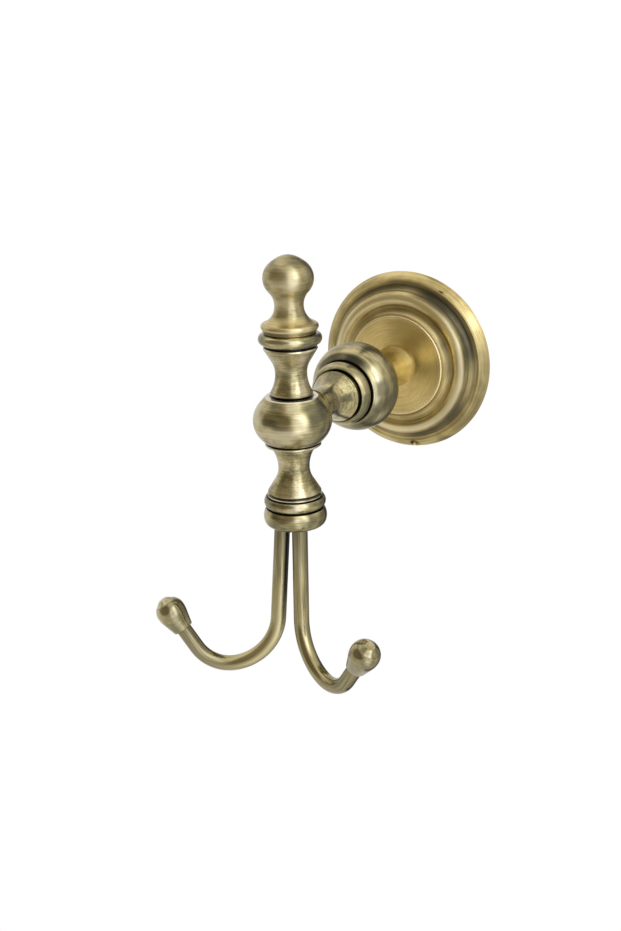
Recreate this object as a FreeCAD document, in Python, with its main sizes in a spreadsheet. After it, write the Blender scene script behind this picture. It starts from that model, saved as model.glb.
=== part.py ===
import FreeCAD, Part

import math
import os
import re

import Sketcher
from FreeCAD import Vector

# Double robe hook, wall mounted, in turned and brushed brass.
# Frame: millimetres, +Z up, +Y into the wall, +X to the viewer's right.
# The origin is on the wall, at the centre of the round wall rose.
# The arm runs out from the wall along -Y. The column stands upright on the arm's end.

doc = FreeCAD.newDocument("double_robe_hook")
sizes = doc.addObject("Spreadsheet::Sheet", "sizes")

DRIVING_SIZES = [
    # wall bracket, a pressed steel cup
    ("bracket_side_gap", 2.2),
    ("bracket_end_gap", 0.2),
    ("bracket_plate", 2.0),
    ("bracket_wall", 1.5),
    ("bracket_centre_hole", 6.8),
    ("screw_hole", 2.25),
    ("screw_margin", 5.8),
    # wall rose, a hollow casting: the steps of its face, from the rim inwards and from the top down
    ("rose_radius", 27.5),
    ("rose_depth", 8.2),
    ("rose_bead_width", 2.4),
    ("rose_bead_swell", 0.207),
    ("cove_width", 2.75),
    ("cove_height", 1.3),
    ("cove_dip", 0.444),
    ("torus_width", 4.45),
    ("torus_height", 1.6),
    ("torus_swell", 1.467),
    ("inner_cove_width", 2.55),
    ("inner_cove_height", 2.0),
    ("inner_cove_dip", 0.612),
    ("table_edge", 0.6),
    ("rose_rim_width", 5.5),
    ("rose_wall", 1.6),
    ("rose_thin_wall", 0.9),
    ("rose_clearance", 0.35),
    # grub screw that locks the rose to the bracket
    ("grub_radius", 1.25),
    ("grub_height", 1.35),
    ("grub_angle", 8.0),
    ("grub_sink", 2.6),
    ("grub_socket", 1.3),
    ("grub_socket_depth", 1.2),
    # neck between the rose and the arm ball
    ("neck_length", 17.0),
    ("neck_foot", 6.3),
    ("neck_foot_edge", 0.7),
    ("neck_waist", 4.5),
    ("neck_waist_height", 8.0),
    ("neck_top", 5.6),
    # arm ball
    ("arm_ball_radius", 12.8),
    ("arm_ball_half_height", 10.2),
    ("arm_ball_back", 9.0),
    ("arm_ball_front", 7.1),
    # ring between the arm ball and the arm spool
    ("arm_ring_radius", 8.95),
    ("arm_ring_length", 4.1),
    ("arm_ring_spigot", 8.1),
    ("arm_ring_front", 7.9),
    ("arm_ring_curve", 3.2),
    ("arm_groove_radius", 6.5),
    ("arm_groove_width", 1.25),
    ("arm_groove_depth", 0.6),
    ("arm_mouth_gap", 0.5),
    # spools: three of one shape, the arm's one a little longer
    ("spool_length", 13.3),
    ("arm_spool_length", 15.7),
    ("spool_foot", 5.6),
    ("spool_foot_edge", 0.5),
    ("spool_spigot", 4.6),
    ("spool_gap", 0.6),
    ("spool_waist", 4.2),
    ("spool_waist_height", 6.1),
    ("spool_flare", 5.1),
    ("spool_flare_height", 9.4),
    ("spool_mouth", 7.2),
    ("spool_mouth_edge", 0.5),
    # body ball that joins the arm and the column
    ("body_radius", 10.5),
    ("body_half_height", 8.25),
    ("body_belly_drop", 0.3),
    ("body_above", 6.3),
    ("body_below", 6.4),
    ("body_shoulder", 4.2),
    ("collar_radius", 7.25),
    ("arm_seat", 9.3),
    ("arm_seat_radius", 5.75),
    # thin disc below the body
    ("disc_radius", 7.5),
    ("disc_thickness", 0.7),
    # bead above the upper spool
    ("upper_bead_height", 3.6),
    ("upper_bead_radius", 8.35),
    ("upper_bead_edge", 7.2),
    ("upper_bead_groove", 6.5),
    ("groove_height", 0.6),
    # finial
    ("finial_seat", 6.8),
    ("finial_lip_height", 0.45),
    ("finial_lip", 6.95),
    ("skirt_radius", 7.65),
    ("skirt_height", 1.4),
    ("skirt_top", 6.95),
    ("skirt_top_height", 2.55),
    ("finial_neck", 3.8),
    ("finial_neck_height", 7.0),
    ("finial_ball_radius", 6.62),
    ("finial_ball_half_height", 5.65),
    ("finial_ball_height", 14.1),
    ("finial_ball_foot", 10.65),
    ("neck_end_slope", 0.9),
    ("finial_crown_foot", 18.9),
    ("finial_height", 20.1),
    ("finial_tip", 0.25),
    ("finial_crown_curve", 6.5),
    # rings below the lower spool
    ("spacer_radius", 7.35),
    ("spacer_thickness", 0.9),
    ("spacer_groove", 6.9),
    ("line_width", 0.3),
    ("lower_bead_height", 3.2),
    ("lower_bead_radius", 8.32),
    ("lower_bead_edge", 7.65),
    # holder of the two hook rods
    ("holder_height", 5.1),
    ("holder_top", 7.8),
    ("holder_bulge_radius", 8.3),
    ("holder_bulge_height", 1.3),
    ("holder_bulge_curve", 4.2),
    ("holder_foot", 6.5),
    ("holder_foot_curve", 1.9),
    ("holder_stem_length", 9.0),
    # hook rods
    ("rod_radius", 2.12),
    ("rod_side_offset", 2.7),
    ("rod_front_offset", 2.57),
    ("rod_insert", 3.6),
    ("rod_splay_angle", 63.3),
    ("rod_outward_angle", 2.3),
    ("rod_forward_angle", 3.7),
    ("rod_in_knob", 4.0),
    # the two rods are bent by hand, so the right one is a little tighter
    ("left_leg", 26.35),
    ("left_wide_radius", 15.1),
    ("left_wide_angle", 73.8),
    ("left_tight_radius", 10.6),
    ("left_tight_angle", 69.8),
    ("left_tail", 6.6),
    ("right_leg", 25.75),
    ("right_wide_radius", 14.7),
    ("right_wide_angle", 72.5),
    ("right_tight_radius", 10.25),
    ("right_tight_angle", 68.5),
    ("right_tail", 6.3),
    # knobs
    ("knob_length", 9.95),
    ("knob_base", 2.85),
    ("knob_shoulder", 3.8),
    ("knob_shoulder_height", 3.7),
    ("knob_radius", 4.12),
    ("knob_belly_height", 5.9),
    ("knob_facet", 3.05),
    ("knob_facet_height", 8.65),
    ("knob_tip", 1.3),
    # threaded studs inside, nut and washer
    ("column_stud_radius", 2.5),
    ("arm_stud_radius", 3.0),
    ("stud_clearance", 0.15),
    ("stud_end_gap", 0.3),
    ("stud_in_finial", 5.2),
    ("stud_in_body", 5.2),
    ("nut_across_flats", 10.0),
    ("nut_height", 3.0),
    ("washer_radius", 5.8),
    ("washer_thickness", 0.8),
    ("stud_past_nut", 0.3),
    # softened edges
    ("fine_edge", 0.15),
    ("worn_edge", 0.3),
]

for row, (alias, number) in enumerate(DRIVING_SIZES, start=1):
    sizes.set(f"A{row}", alias)
    sizes.set(f"B{row}", str(number))
    sizes.setAlias(f"B{row}", alias)
doc.recompute()

ALIASES = {alias for alias, number in DRIVING_SIZES}

# Places along the arm, counted outwards from the wall.
ARM_BALL_LENGTH = "arm_ball_back + arm_ball_front"
NECK_AT = "rose_depth"
ARM_BALL_AT = f"{NECK_AT} + neck_length"
ARM_RING_AT = f"{ARM_BALL_AT} + {ARM_BALL_LENGTH}"
ARM_SPOOL_AT = f"{ARM_RING_AT} + arm_ring_length"
COLUMN_AT = f"{ARM_SPOOL_AT} + arm_spool_length + arm_seat"

# Heights in the column, counted from the arm's axis.
DISC_TOP = "-body_below"
LOWER_SPOOL_TOP = f"{DISC_TOP} - disc_thickness"
SPACER_TOP = f"{LOWER_SPOOL_TOP} - spool_length"
LOWER_BEAD_TOP = f"{SPACER_TOP} - spacer_thickness"
HOLDER_TOP = f"{LOWER_BEAD_TOP} - lower_bead_height"
HOLDER_FOOT = f"{HOLDER_TOP} - holder_height"
UPPER_SPOOL_AT = "body_above"
UPPER_BEAD_AT = f"{UPPER_SPOOL_AT} + spool_length"
FINIAL_AT = f"{UPPER_BEAD_AT} + upper_bead_height"

parts = []


def cell(text):
    """The expression with each size's name pointing at its cell in the sheet."""
    return re.sub(r"[a-z_]+", lambda m: f"sizes.{m[0]}" if m[0] in ALIASES else m[0], str(text))


def number(text):
    """The present value of an expression."""
    return float(sizes.evalExpression(str(text)))


def origin_plane(body, role):
    return next(f for f in body.Origin.OriginFeatures if f.Role == role)


def new_body(label):
    body = doc.addObject("PartDesign::Body", label)
    body.Label = label
    return body


def new_sketch(body, role, suffix):
    sketch = body.newObject("Sketcher::SketchObject", f"{body.Name}_{suffix}")
    sketch.AttachmentSupport = [(origin_plane(body, role), "")]
    sketch.MapMode = "FlatFace"
    return sketch


def constrain(sketch, kind, *args, size=None):
    """Add a constraint and, where a size is given, bind it to the sheet."""
    if size is None:
        return sketch.addConstraint(Sketcher.Constraint(kind, *args))
    index = sketch.addConstraint(Sketcher.Constraint(kind, *args, number(size)))
    sketch.setExpression(f"Constraints[{index}]", cell(size))
    return index


def pin(sketch, geo, end, x=None, y=None):
    """Hold one end of a line or curve at a place in the sketch."""
    for kind, axis, size in (("DistanceX", -2, x), ("DistanceY", -1, y)):
        if size is None:
            continue
        if str(size) == "0":
            constrain(sketch, "PointOnObject", geo, end, axis)
        else:
            constrain(sketch, kind, -1, 1, geo, end, size=size)


# The half section of a turned piece is a list of corners and curves, in order.
# Straight lines join one item to the next, and the last one to the first.


def corner(radius, height):
    return {"kind": "corner", "start": (radius, height), "end": (radius, height)}


def arc(r0, h0, r1, h1, curve, bulge):
    """A round stretch of that radius: it bulges out from the axis or dips in to it."""
    return {"kind": "arc", "start": (r0, h0), "end": (r1, h1), "curve": curve, "bulge": bulge}


def bowed(r0, h0, r1, h1, rise, bulge):
    """A round stretch whose middle stands that far off the straight line between its ends."""
    chord = f"((({r1}) - ({r0}))^2 + (({h1}) - ({h0}))^2)"
    return arc(r0, h0, r1, h1, f"{chord} / (8 * {rise}) + {rise} / 2", bulge)


def oval_radius(height, centre, wide, tall):
    return f"{wide} * sqrt(1 - ((({height}) - ({centre})) / ({tall}))^2)"


def oval(h0, h1, centre, wide, tall):
    """A stretch of an ellipse that is centred on the axis."""
    start = (oval_radius(h0, centre, wide, tall), h0)
    end = (oval_radius(h1, centre, wide, tall), h1)
    return {"kind": "oval", "start": start, "end": end, "centre": centre, "wide": wide, "tall": tall}


def cove(waist, waist_height, radius, height):
    """The curve's radius that leaves a waist parallel to the axis and reaches a corner."""
    rise = f"(({height}) - ({waist_height}))"
    flare = f"(({radius}) - ({waist}))"
    return f"({rise}^2 + {flare}^2) / (2 * {flare})"


def arc_geometry(start, end, curve, bulge):
    """The shorter arc of that radius through two points, and whether it runs from start to end."""
    chord = end - start
    outwards = Vector(chord.y, -chord.x, 0).normalize()
    if (outwards.x < 0) == (bulge == "out"):
        outwards = outwards * -1
    depth = math.sqrt(curve**2 - (chord.Length / 2) ** 2)
    centre = (start + end) * 0.5 - outwards * depth
    forward = (start - centre).cross(end - centre).z > 0
    first, last = (start, end) if forward else (end, start)
    angles = [math.atan2(p.y - centre.y, p.x - centre.x) for p in (first, last)]
    if angles[1] < angles[0]:
        angles[1] += 2 * math.pi
    return Part.ArcOfCircle(Part.Circle(centre, Vector(0, 0, 1), curve), *angles), forward


def add_curve(sketch, item, start, end):
    """Draw one curve and return its number and the ends that are first and last."""
    if item["kind"] == "arc":
        geometry, forward = arc_geometry(start, end, number(item["curve"]), item["bulge"])
        geo = sketch.addGeometry(geometry, False)
        ends = (1, 2) if forward else (2, 1)
        pin(sketch, geo, ends[0], *item["start"])
        pin(sketch, geo, ends[1], *item["end"])
        constrain(sketch, "Radius", geo, size=item["curve"])
        return geo, ends
    centre, wide, tall = (number(item[k]) for k in ("centre", "wide", "tall"))
    middle = Vector(0, centre, 0)
    if wide > tall:
        ellipse = Part.Ellipse(Vector(wide, centre, 0), Vector(0, centre + tall, 0), middle)
        turn = 0.0
    else:
        ellipse = Part.Ellipse(Vector(0, centre + tall, 0), Vector(-wide, centre, 0), middle)
        turn = math.pi / 2
    angles = [math.asin(max(-1.0, min(1.0, (p.y - centre) / tall))) - turn for p in (start, end)]
    forward = angles[0] < angles[1]
    geo = sketch.addGeometry(Part.ArcOfEllipse(ellipse, min(angles), max(angles)), False)
    ends = (1, 2) if forward else (2, 1)
    sketch.exposeInternalGeometry(geo)
    major, minor = geo + 1, geo + 2
    pin(sketch, geo, 3, 0, item["centre"])
    across, upright = (major, minor) if wide > tall else (minor, major)
    constrain(sketch, "Horizontal", across)
    constrain(sketch, "Distance", across, size=f"2 * {item['wide']}")
    constrain(sketch, "Distance", upright, size=f"2 * {item['tall']}")
    pin(sketch, geo, ends[0], None, item["start"][1])
    pin(sketch, geo, ends[1], None, item["end"][1])
    return geo, ends


def turned(label, outline, place):
    """A piece turned on a lathe: its half section spun about the Z axis of its own body."""
    body = new_body(label)
    sketch = new_sketch(body, "XZ_Plane", "section")
    places = []
    for item in outline:
        pair = [Vector(number(r), number(h), 0) for r, h in (item["start"], item["end"])]
        places.append(pair)
    drawn = []
    for item, (start, end) in zip(outline, places):
        if item["kind"] == "corner":
            drawn.append(None)
        else:
            drawn.append(add_curve(sketch, item, start, end))
    held = {}
    first_point = {}
    last_point = {}
    for k, curve in enumerate(drawn):
        if curve:
            first_point[k] = (curve[0], curve[1][0])
            last_point[k] = (curve[0], curve[1][1])
    for k, item in enumerate(outline):
        following = (k + 1) % len(outline)
        a, b = places[k][1], places[following][0]
        if a.distanceToPoint(b) < 1e-7:
            raise ValueError(f"{label}: two items of the outline meet at one corner")
        line = sketch.addGeometry(Part.LineSegment(a, b), False)
        if k in last_point:
            constrain(sketch, "Coincident", *last_point[k], line, 1)
        else:
            held.setdefault(k, []).append((line, 1))
        if following in first_point:
            constrain(sketch, "Coincident", line, 2, *first_point[following])
        else:
            held.setdefault(following, []).append((line, 2))
    for k, points in held.items():
        pin(sketch, *points[0], *outline[k]["end"])
        constrain(sketch, "Coincident", *points[0], *points[1])
    spin = body.newObject("PartDesign::Revolution", f"{label}_turned")
    spin.Profile = sketch
    spin.ReferenceAxis = (sketch, ["V_Axis"])
    spin.Angle = 360
    body.setExpression("Placement", cell(place))
    doc.recompute()
    parts.append(body)
    return body


def soften(body, edges, size):
    """Round the circular edges that lie at these radii and heights."""
    wanted = [(number(r), number(h)) for r, h in edges]
    names = []
    for index, edge in enumerate(body.Shape.Edges, start=1):
        if edge.Curve.TypeId != "Part::GeomCircle" or not edge.Closed:
            continue
        local = body.Placement.inverse().multVec(edge.Curve.Center)
        for radius, height in wanted:
            if abs(edge.Curve.Radius - radius) < 1e-4 and abs(local.z - height) < 1e-4:
                names.append(f"Edge{index}")
    if len(names) != len(wanted):
        raise ValueError(f"{body.Label}: found {len(names)} of {len(wanted)} edges to soften")
    sharp = body.Tip
    fillet = body.newObject("PartDesign::Fillet", f"{body.Name}_softened")
    fillet.Base = (sharp, names)
    fillet.setExpression("Radius", cell(size))
    doc.recompute()


def pocket(body, sketch, depth, towards):
    """Cut a sketch into the body, to a depth, towards +1 or -1 along the sketch's normal."""
    before = body.Shape.Volume
    cut = body.newObject("PartDesign::Pocket", f"{sketch.Name}_cut")
    cut.Profile = sketch
    cut.Type = 0
    cut.setExpression("Length", cell(depth))
    cut.Reversed = towards > 0
    doc.recompute()
    if not body.Shape.Volume < before - 1e-3:
        raise ValueError(f"{body.Label}: {sketch.Name} cuts nothing")
    return cut


def circle(sketch, x, y, radius):
    geometry = Part.Circle(Vector(number(x), number(y), 0), Vector(0, 0, 1), number(radius))
    geo = sketch.addGeometry(geometry, False)
    pin(sketch, geo, 3, x, y)
    constrain(sketch, "Radius", geo, size=radius)


def hexagon(sketch, across_flats):
    """Six lines about the sketch's origin."""
    reach = f"({across_flats}) / 2 / cos(30)"
    places = [(f"{reach} * cos({60 * k + 30})", f"{reach} * sin({60 * k + 30})") for k in range(6)]
    places = [("0" if k in (1, 4) else x, y) for k, (x, y) in enumerate(places)]
    corners = [Vector(number(x), number(y), 0) for x, y in places]
    lines = []
    for k in range(6):
        segment = Part.LineSegment(corners[k], corners[(k + 1) % 6])
        lines.append(sketch.addGeometry(segment, False))
    for k in range(6):
        constrain(sketch, "Coincident", lines[k - 1], 2, lines[k], 1)
        pin(sketch, lines[k], 1, *places[k])


def along_arm(distance):
    """A place on the arm's axis, with the piece's own Z pointing away from the wall."""
    return f"placement(vector(0; -({distance}); 0); rotation(vector(1; 0; 0); 90))"


def in_column(height):
    """A place on the column's axis, with the piece's own Z pointing up."""
    return f"placement(vector(0; -({COLUMN_AT}); {height}); rotation(vector(1; 0; 0); 0))"


def hung_in_column(height):
    """A place on the column's axis, with the piece's own Z pointing down."""
    return f"placement(vector(0; -({COLUMN_AT}); {height}); rotation(vector(1; 0; 0); 180))"


COLUMN_HOLE = "column_stud_radius + stud_clearance"
ARM_HOLE = "arm_stud_radius + stud_clearance"


# The steps of the rose's face, as radii and heights.
ROSE_ARRIS = "rose_radius - rose_bead_width"
COVE_FOOT = f"{ROSE_ARRIS} - cove_width"
TORUS_FOOT = f"{COVE_FOOT} - torus_width"
TABLE_RADIUS = f"{TORUS_FOOT} - inner_cove_width"
TABLE_LIP_HEIGHT = "rose_depth - table_edge"
TORUS_FOOT_HEIGHT = f"{TABLE_LIP_HEIGHT} - inner_cove_height"
COVE_FOOT_HEIGHT = f"{TORUS_FOOT_HEIGHT} - torus_height"
ARRIS_HEIGHT = f"{COVE_FOOT_HEIGHT} - cove_height"
RIM_DEPTH = f"{COVE_FOOT_HEIGHT} - rose_wall"
HOLLOW_DEPTH = f"{TORUS_FOOT_HEIGHT} - rose_thin_wall"
RIM_INSIDE = "rose_radius - rose_rim_width"


# Wall bracket: a steel cup that is screwed to the wall through two holes, one above the other.

BRACKET_RADIUS = f"{RIM_INSIDE} - bracket_side_gap"
BRACKET_DEPTH = f"{HOLLOW_DEPTH} - bracket_end_gap"
SCREW_AT = f"({BRACKET_RADIUS} - screw_margin)"

wall_bracket = turned(
    "wall_bracket",
    [
        corner("bracket_centre_hole", "0"),
        corner(BRACKET_RADIUS, "0"),
        corner(BRACKET_RADIUS, BRACKET_DEPTH),
        corner(f"{BRACKET_RADIUS} - bracket_wall", BRACKET_DEPTH),
        corner(f"{BRACKET_RADIUS} - bracket_wall", "bracket_plate"),
        corner("bracket_centre_hole", "bracket_plate"),
    ],
    along_arm("0"),
)
screw_holes = new_sketch(wall_bracket, "XY_Plane", "screw_holes")
circle(screw_holes, "0", SCREW_AT, "screw_hole")
circle(screw_holes, "0", f"-{SCREW_AT}", "screw_hole")
pocket(wall_bracket, screw_holes, "bracket_plate", +1)


# Wall rose: outer bead, cove, torus, inner cove and a raised round table, hollow behind.
# It is turned a little about its axis, so that its grub screw sits beside the lowest point.

TURNED_TO_GRUB = f"{along_arm('0')} * placement(vector(0; 0; 0); rotation(vector(0; 0; 1); grub_angle))"

wall_rose = turned(
    "wall_rose",
    [
        corner(RIM_INSIDE, "0"),
        bowed("rose_radius", "0", ROSE_ARRIS, ARRIS_HEIGHT, "rose_bead_swell", "out"),
        bowed(f"{ROSE_ARRIS} - fine_edge", ARRIS_HEIGHT, COVE_FOOT, COVE_FOOT_HEIGHT, "cove_dip", "in"),
        bowed(COVE_FOOT, f"{COVE_FOOT_HEIGHT} + fine_edge", TORUS_FOOT, TORUS_FOOT_HEIGHT,
              "torus_swell", "out"),
        bowed(f"{TORUS_FOOT} - fine_edge", TORUS_FOOT_HEIGHT, TABLE_RADIUS, TABLE_LIP_HEIGHT,
              "inner_cove_dip", "in"),
        arc(TABLE_RADIUS, f"{TABLE_LIP_HEIGHT} + fine_edge",
            f"{TABLE_RADIUS} - table_edge + fine_edge", "rose_depth", "table_edge - fine_edge", "out"),
        corner(ARM_HOLE, "rose_depth"),
        corner(ARM_HOLE, "rose_depth - rose_wall"),
        corner(f"{TABLE_RADIUS} - rose_wall", "rose_depth - rose_wall"),
        corner(f"{TABLE_RADIUS} - rose_wall", HOLLOW_DEPTH),
        corner(f"{BRACKET_RADIUS} + rose_clearance", HOLLOW_DEPTH),
        corner(f"{BRACKET_RADIUS} + rose_clearance", RIM_DEPTH),
        corner(RIM_INSIDE, RIM_DEPTH),
    ],
    TURNED_TO_GRUB,
)
grub_hole = new_sketch(wall_rose, "XZ_Plane", "grub_hole")
circle(grub_hole, "0", "grub_height", "grub_radius")
pocket(wall_rose, grub_hole, "rose_radius", +1)


# Grub screw: it lies across the rose's lower rim and bears on the bracket.

rose_grub_screw = new_body("rose_grub_screw")
grub_section = new_sketch(rose_grub_screw, "XY_Plane", "section")
circle(grub_section, "0", "0", "grub_radius")
grub = rose_grub_screw.newObject("PartDesign::Pad", "grub_blank")
grub.Profile = grub_section
grub.setExpression("Length", cell(f"rose_radius - grub_sink - ({BRACKET_RADIUS})"))
doc.recompute()
grub_socket = new_sketch(rose_grub_screw, "XY_Plane", "socket")
hexagon(grub_socket, "grub_socket")
pocket(rose_grub_screw, grub_socket, "grub_socket_depth", +1)
rose_grub_screw.setExpression(
    "Placement",
    cell(f"{TURNED_TO_GRUB} * placement(vector(0; grub_sink - rose_radius; grub_height);"
         " rotation(vector(1; 0; 0); -90))"),
)
doc.recompute()
parts.append(rose_grub_screw)


# Neck: a waisted piece between the rose's table and the arm ball.

arm_neck = turned(
    "arm_neck",
    [
        corner(ARM_HOLE, "0"),
        corner("neck_foot", "0"),
        arc("neck_foot", "neck_foot_edge", "neck_waist", "neck_waist_height",
            cove("neck_waist", "neck_waist_height", "neck_foot", "neck_foot_edge"), "in"),
        arc("neck_waist", "neck_waist_height + fine_edge", "neck_top", "neck_length",
            cove("neck_waist", "neck_waist_height + fine_edge", "neck_top", "neck_length"), "in"),
        corner(ARM_HOLE, "neck_length"),
    ],
    along_arm(NECK_AT),
)


# Arm ball: a squashed ball with a flat face at each end.

arm_ball = turned(
    "arm_ball",
    [
        corner(ARM_HOLE, "0"),
        oval("0", ARM_BALL_LENGTH, "arm_ball_back", "arm_ball_radius", "arm_ball_half_height"),
        corner(ARM_HOLE, ARM_BALL_LENGTH),
    ],
    along_arm(ARM_BALL_AT),
)


# Arm ring: it stands on a short spigot, so that a dark line shows behind it, and has a groove in front.

arm_ring = turned(
    "arm_ring",
    [
        corner(ARM_HOLE, "0"),
        corner("arm_ring_spigot", "0"),
        corner("arm_ring_spigot", "groove_height"),
        corner("arm_ring_radius - worn_edge", "groove_height"),
        arc("arm_ring_radius", "groove_height + worn_edge", "arm_ring_front", "arm_ring_length",
            "arm_ring_curve", "out"),
        corner("arm_groove_radius + arm_groove_width", "arm_ring_length"),
        corner("arm_groove_radius + arm_groove_width", "arm_ring_length - arm_groove_depth"),
        corner("arm_groove_radius", "arm_ring_length - arm_groove_depth"),
        corner("arm_groove_radius", "arm_ring_length"),
        corner(ARM_HOLE, "arm_ring_length"),
    ],
    along_arm(ARM_RING_AT),
)


# Spools: the foot is the narrow end, the mouth is the wide one.


def spool(label, length, spigot, hole, place, mouth_gap=None):
    """A waisted spool, its foot raised on a spigot, so that a dark gap shows below it."""
    mouth = f"{length} - {mouth_gap}" if mouth_gap else length
    foot_edge = "spool_gap + spool_foot_edge"
    flare_height = f"{mouth} - spool_length + spool_flare_height"
    waist_height = f"{mouth} - spool_length + spool_waist_height"
    mouth_edge = f"{mouth} - spool_mouth_edge"
    outline = [
        corner(hole, "0"),
        corner(spigot, "0"),
        corner(spigot, "spool_gap"),
        corner("spool_foot", "spool_gap"),
        arc("spool_foot", foot_edge, "spool_waist", waist_height,
            cove("spool_waist", waist_height, "spool_foot", foot_edge), "in"),
        arc("spool_waist", f"{waist_height} + fine_edge", "spool_flare", flare_height,
            cove("spool_waist", f"{waist_height} + fine_edge", "spool_flare", flare_height), "in"),
        corner("spool_mouth", mouth_edge),
        corner("spool_mouth - line_width", mouth),
    ]
    if mouth_gap:
        outline.append(corner("arm_groove_radius", mouth))
        outline.append(corner("arm_groove_radius", length))
    outline.append(corner(hole, length))
    body = turned(label, outline, place)
    soften(body, [("spool_mouth", mouth_edge)], "fine_edge")
    return body


arm_spool = spool(
    "arm_spool",
    "arm_spool_length",
    "spool_foot - line_width",
    ARM_HOLE,
    f"placement(vector(0; -({ARM_SPOOL_AT} + arm_spool_length); 0); rotation(vector(1; 0; 0); -90))",
    "arm_mouth_gap",
)
upper_spool = spool(
    "upper_spool", "spool_length", "spool_spigot", COLUMN_HOLE, in_column(UPPER_SPOOL_AT)
)
lower_spool = spool(
    "lower_spool", "spool_length", "spool_foot - line_width", "column_stud_radius",
    hung_in_column(LOWER_SPOOL_TOP),
)


# Body ball: bored through for the column's stud, and bored from the back for the arm's stud.

body_ball = turned(
    "body_ball",
    [
        corner(COLUMN_HOLE, "-body_below"),
        oval("-body_below", "body_shoulder", "-body_belly_drop", "body_radius", "body_half_height"),
        corner("collar_radius", "body_above - worn_edge"),
        corner("collar_radius - worn_edge", "body_above"),
        corner(COLUMN_HOLE, "body_above"),
    ],
    in_column("0"),
)
for suffix, radius, depth in (
    ("arm_seat", "arm_seat_radius", "arm_seat"),
    ("arm_thread", "arm_stud_radius", "arm_seat - stud_in_body - stud_end_gap"),
):
    bore = new_sketch(body_ball, "XZ_Plane", suffix)
    bore.setExpression(".AttachmentOffset.Base.z", cell(f"-({depth})"))
    circle(bore, "0", "0", radius)
    pocket(body_ball, bore, "body_radius", -1)


# Thin disc below the body.

body_disc = turned(
    "body_disc",
    [
        corner(COLUMN_HOLE, "0"),
        corner("disc_radius - disc_thickness / 4", "0"),
        corner("disc_radius", "disc_thickness / 4"),
        corner("disc_radius", "disc_thickness * 3 / 4"),
        corner("disc_radius - disc_thickness / 4", "disc_thickness"),
        corner(COLUMN_HOLE, "disc_thickness"),
    ],
    in_column(LOWER_SPOOL_TOP),
)


# Bead above the upper spool, on a groove of its own.

BEAD_HALF = "((upper_bead_height - groove_height) / 2)"
BEAD_SWELL = "(upper_bead_radius - upper_bead_edge)"

upper_bead = turned(
    "upper_bead",
    [
        corner(COLUMN_HOLE, "0"),
        corner("upper_bead_groove", "0"),
        corner("upper_bead_groove", "groove_height"),
        arc("upper_bead_edge", "groove_height", "upper_bead_edge", "upper_bead_height",
            f"({BEAD_HALF}^2 + {BEAD_SWELL}^2) / (2 * {BEAD_SWELL})", "out"),
        corner(COLUMN_HOLE, "upper_bead_height"),
    ],
    in_column(UPPER_BEAD_AT),
)


# Finial: lip, skirt, neck and ball in one turned piece, tapped from below.

BALL_SHAPE = ("finial_ball_height", "finial_ball_radius", "finial_ball_half_height")
BALL_FOOT_RADIUS = oval_radius("finial_ball_foot", *BALL_SHAPE)
NECK_END_RADIUS = f"{BALL_FOOT_RADIUS} - neck_end_slope * fine_edge"
CROWN_FOOT_RADIUS = oval_radius("finial_crown_foot", *BALL_SHAPE)

finial = turned(
    "finial",
    [
        corner("0", "stud_in_finial + stud_end_gap"),
        corner("column_stud_radius", "stud_in_finial + stud_end_gap"),
        corner("column_stud_radius", "0"),
        corner("finial_seat", "0"),
        corner("finial_lip", "finial_lip_height"),
        arc("skirt_radius - worn_edge", "skirt_height - worn_edge",
            "skirt_top", "skirt_top_height",
            "(skirt_top_height - skirt_height + worn_edge) * 0.65", "out"),
        arc("skirt_top - fine_edge", "skirt_top_height + fine_edge / 3", "finial_neck", "finial_neck_height",
            cove("finial_neck", "finial_neck_height", "skirt_top - fine_edge",
                 "skirt_top_height + fine_edge / 3"), "in"),
        arc("finial_neck", "finial_neck_height + fine_edge",
            NECK_END_RADIUS, "finial_ball_foot - fine_edge",
            cove("finial_neck", "finial_neck_height + fine_edge",
                 NECK_END_RADIUS, "finial_ball_foot - fine_edge"), "in"),
        oval("finial_ball_foot", "finial_crown_foot - fine_edge / 3", *BALL_SHAPE),
        arc(CROWN_FOOT_RADIUS, "finial_crown_foot", "finial_tip", "finial_height",
            "finial_crown_curve", "out"),
        corner("0", "finial_height"),
    ],
    in_column(FINIAL_AT),
)


# Thin spacer ring, with a dark line above and below it.

spacer_ring = turned(
    "spacer_ring",
    [
        corner(COLUMN_HOLE, "0"),
        corner("spacer_groove", "0"),
        corner("spacer_groove", "line_width"),
        corner("spacer_radius", "line_width"),
        corner("spacer_radius", "spacer_thickness - line_width"),
        corner("spacer_groove", "spacer_thickness - line_width"),
        corner("spacer_groove", "spacer_thickness"),
        corner(COLUMN_HOLE, "spacer_thickness"),
    ],
    hung_in_column(SPACER_TOP),
)


# Lower bead.

LOWER_HALF = "((lower_bead_height - line_width) / 2)"
LOWER_SWELL = "(lower_bead_radius - lower_bead_edge)"

lower_bead = turned(
    "lower_bead",
    [
        corner(COLUMN_HOLE, "0"),
        arc("lower_bead_edge", "0", "lower_bead_edge", "lower_bead_height - line_width",
            f"({LOWER_HALF}^2 + {LOWER_SWELL}^2) / (2 * {LOWER_SWELL})", "out"),
        corner("spacer_groove", "lower_bead_height - line_width"),
        corner("spacer_groove", "lower_bead_height"),
        corner(COLUMN_HOLE, "lower_bead_height"),
    ],
    hung_in_column(LOWER_BEAD_TOP),
)


# Holder of the hook rods: a bead with a threaded stem that screws up into the lower spool.

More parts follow.
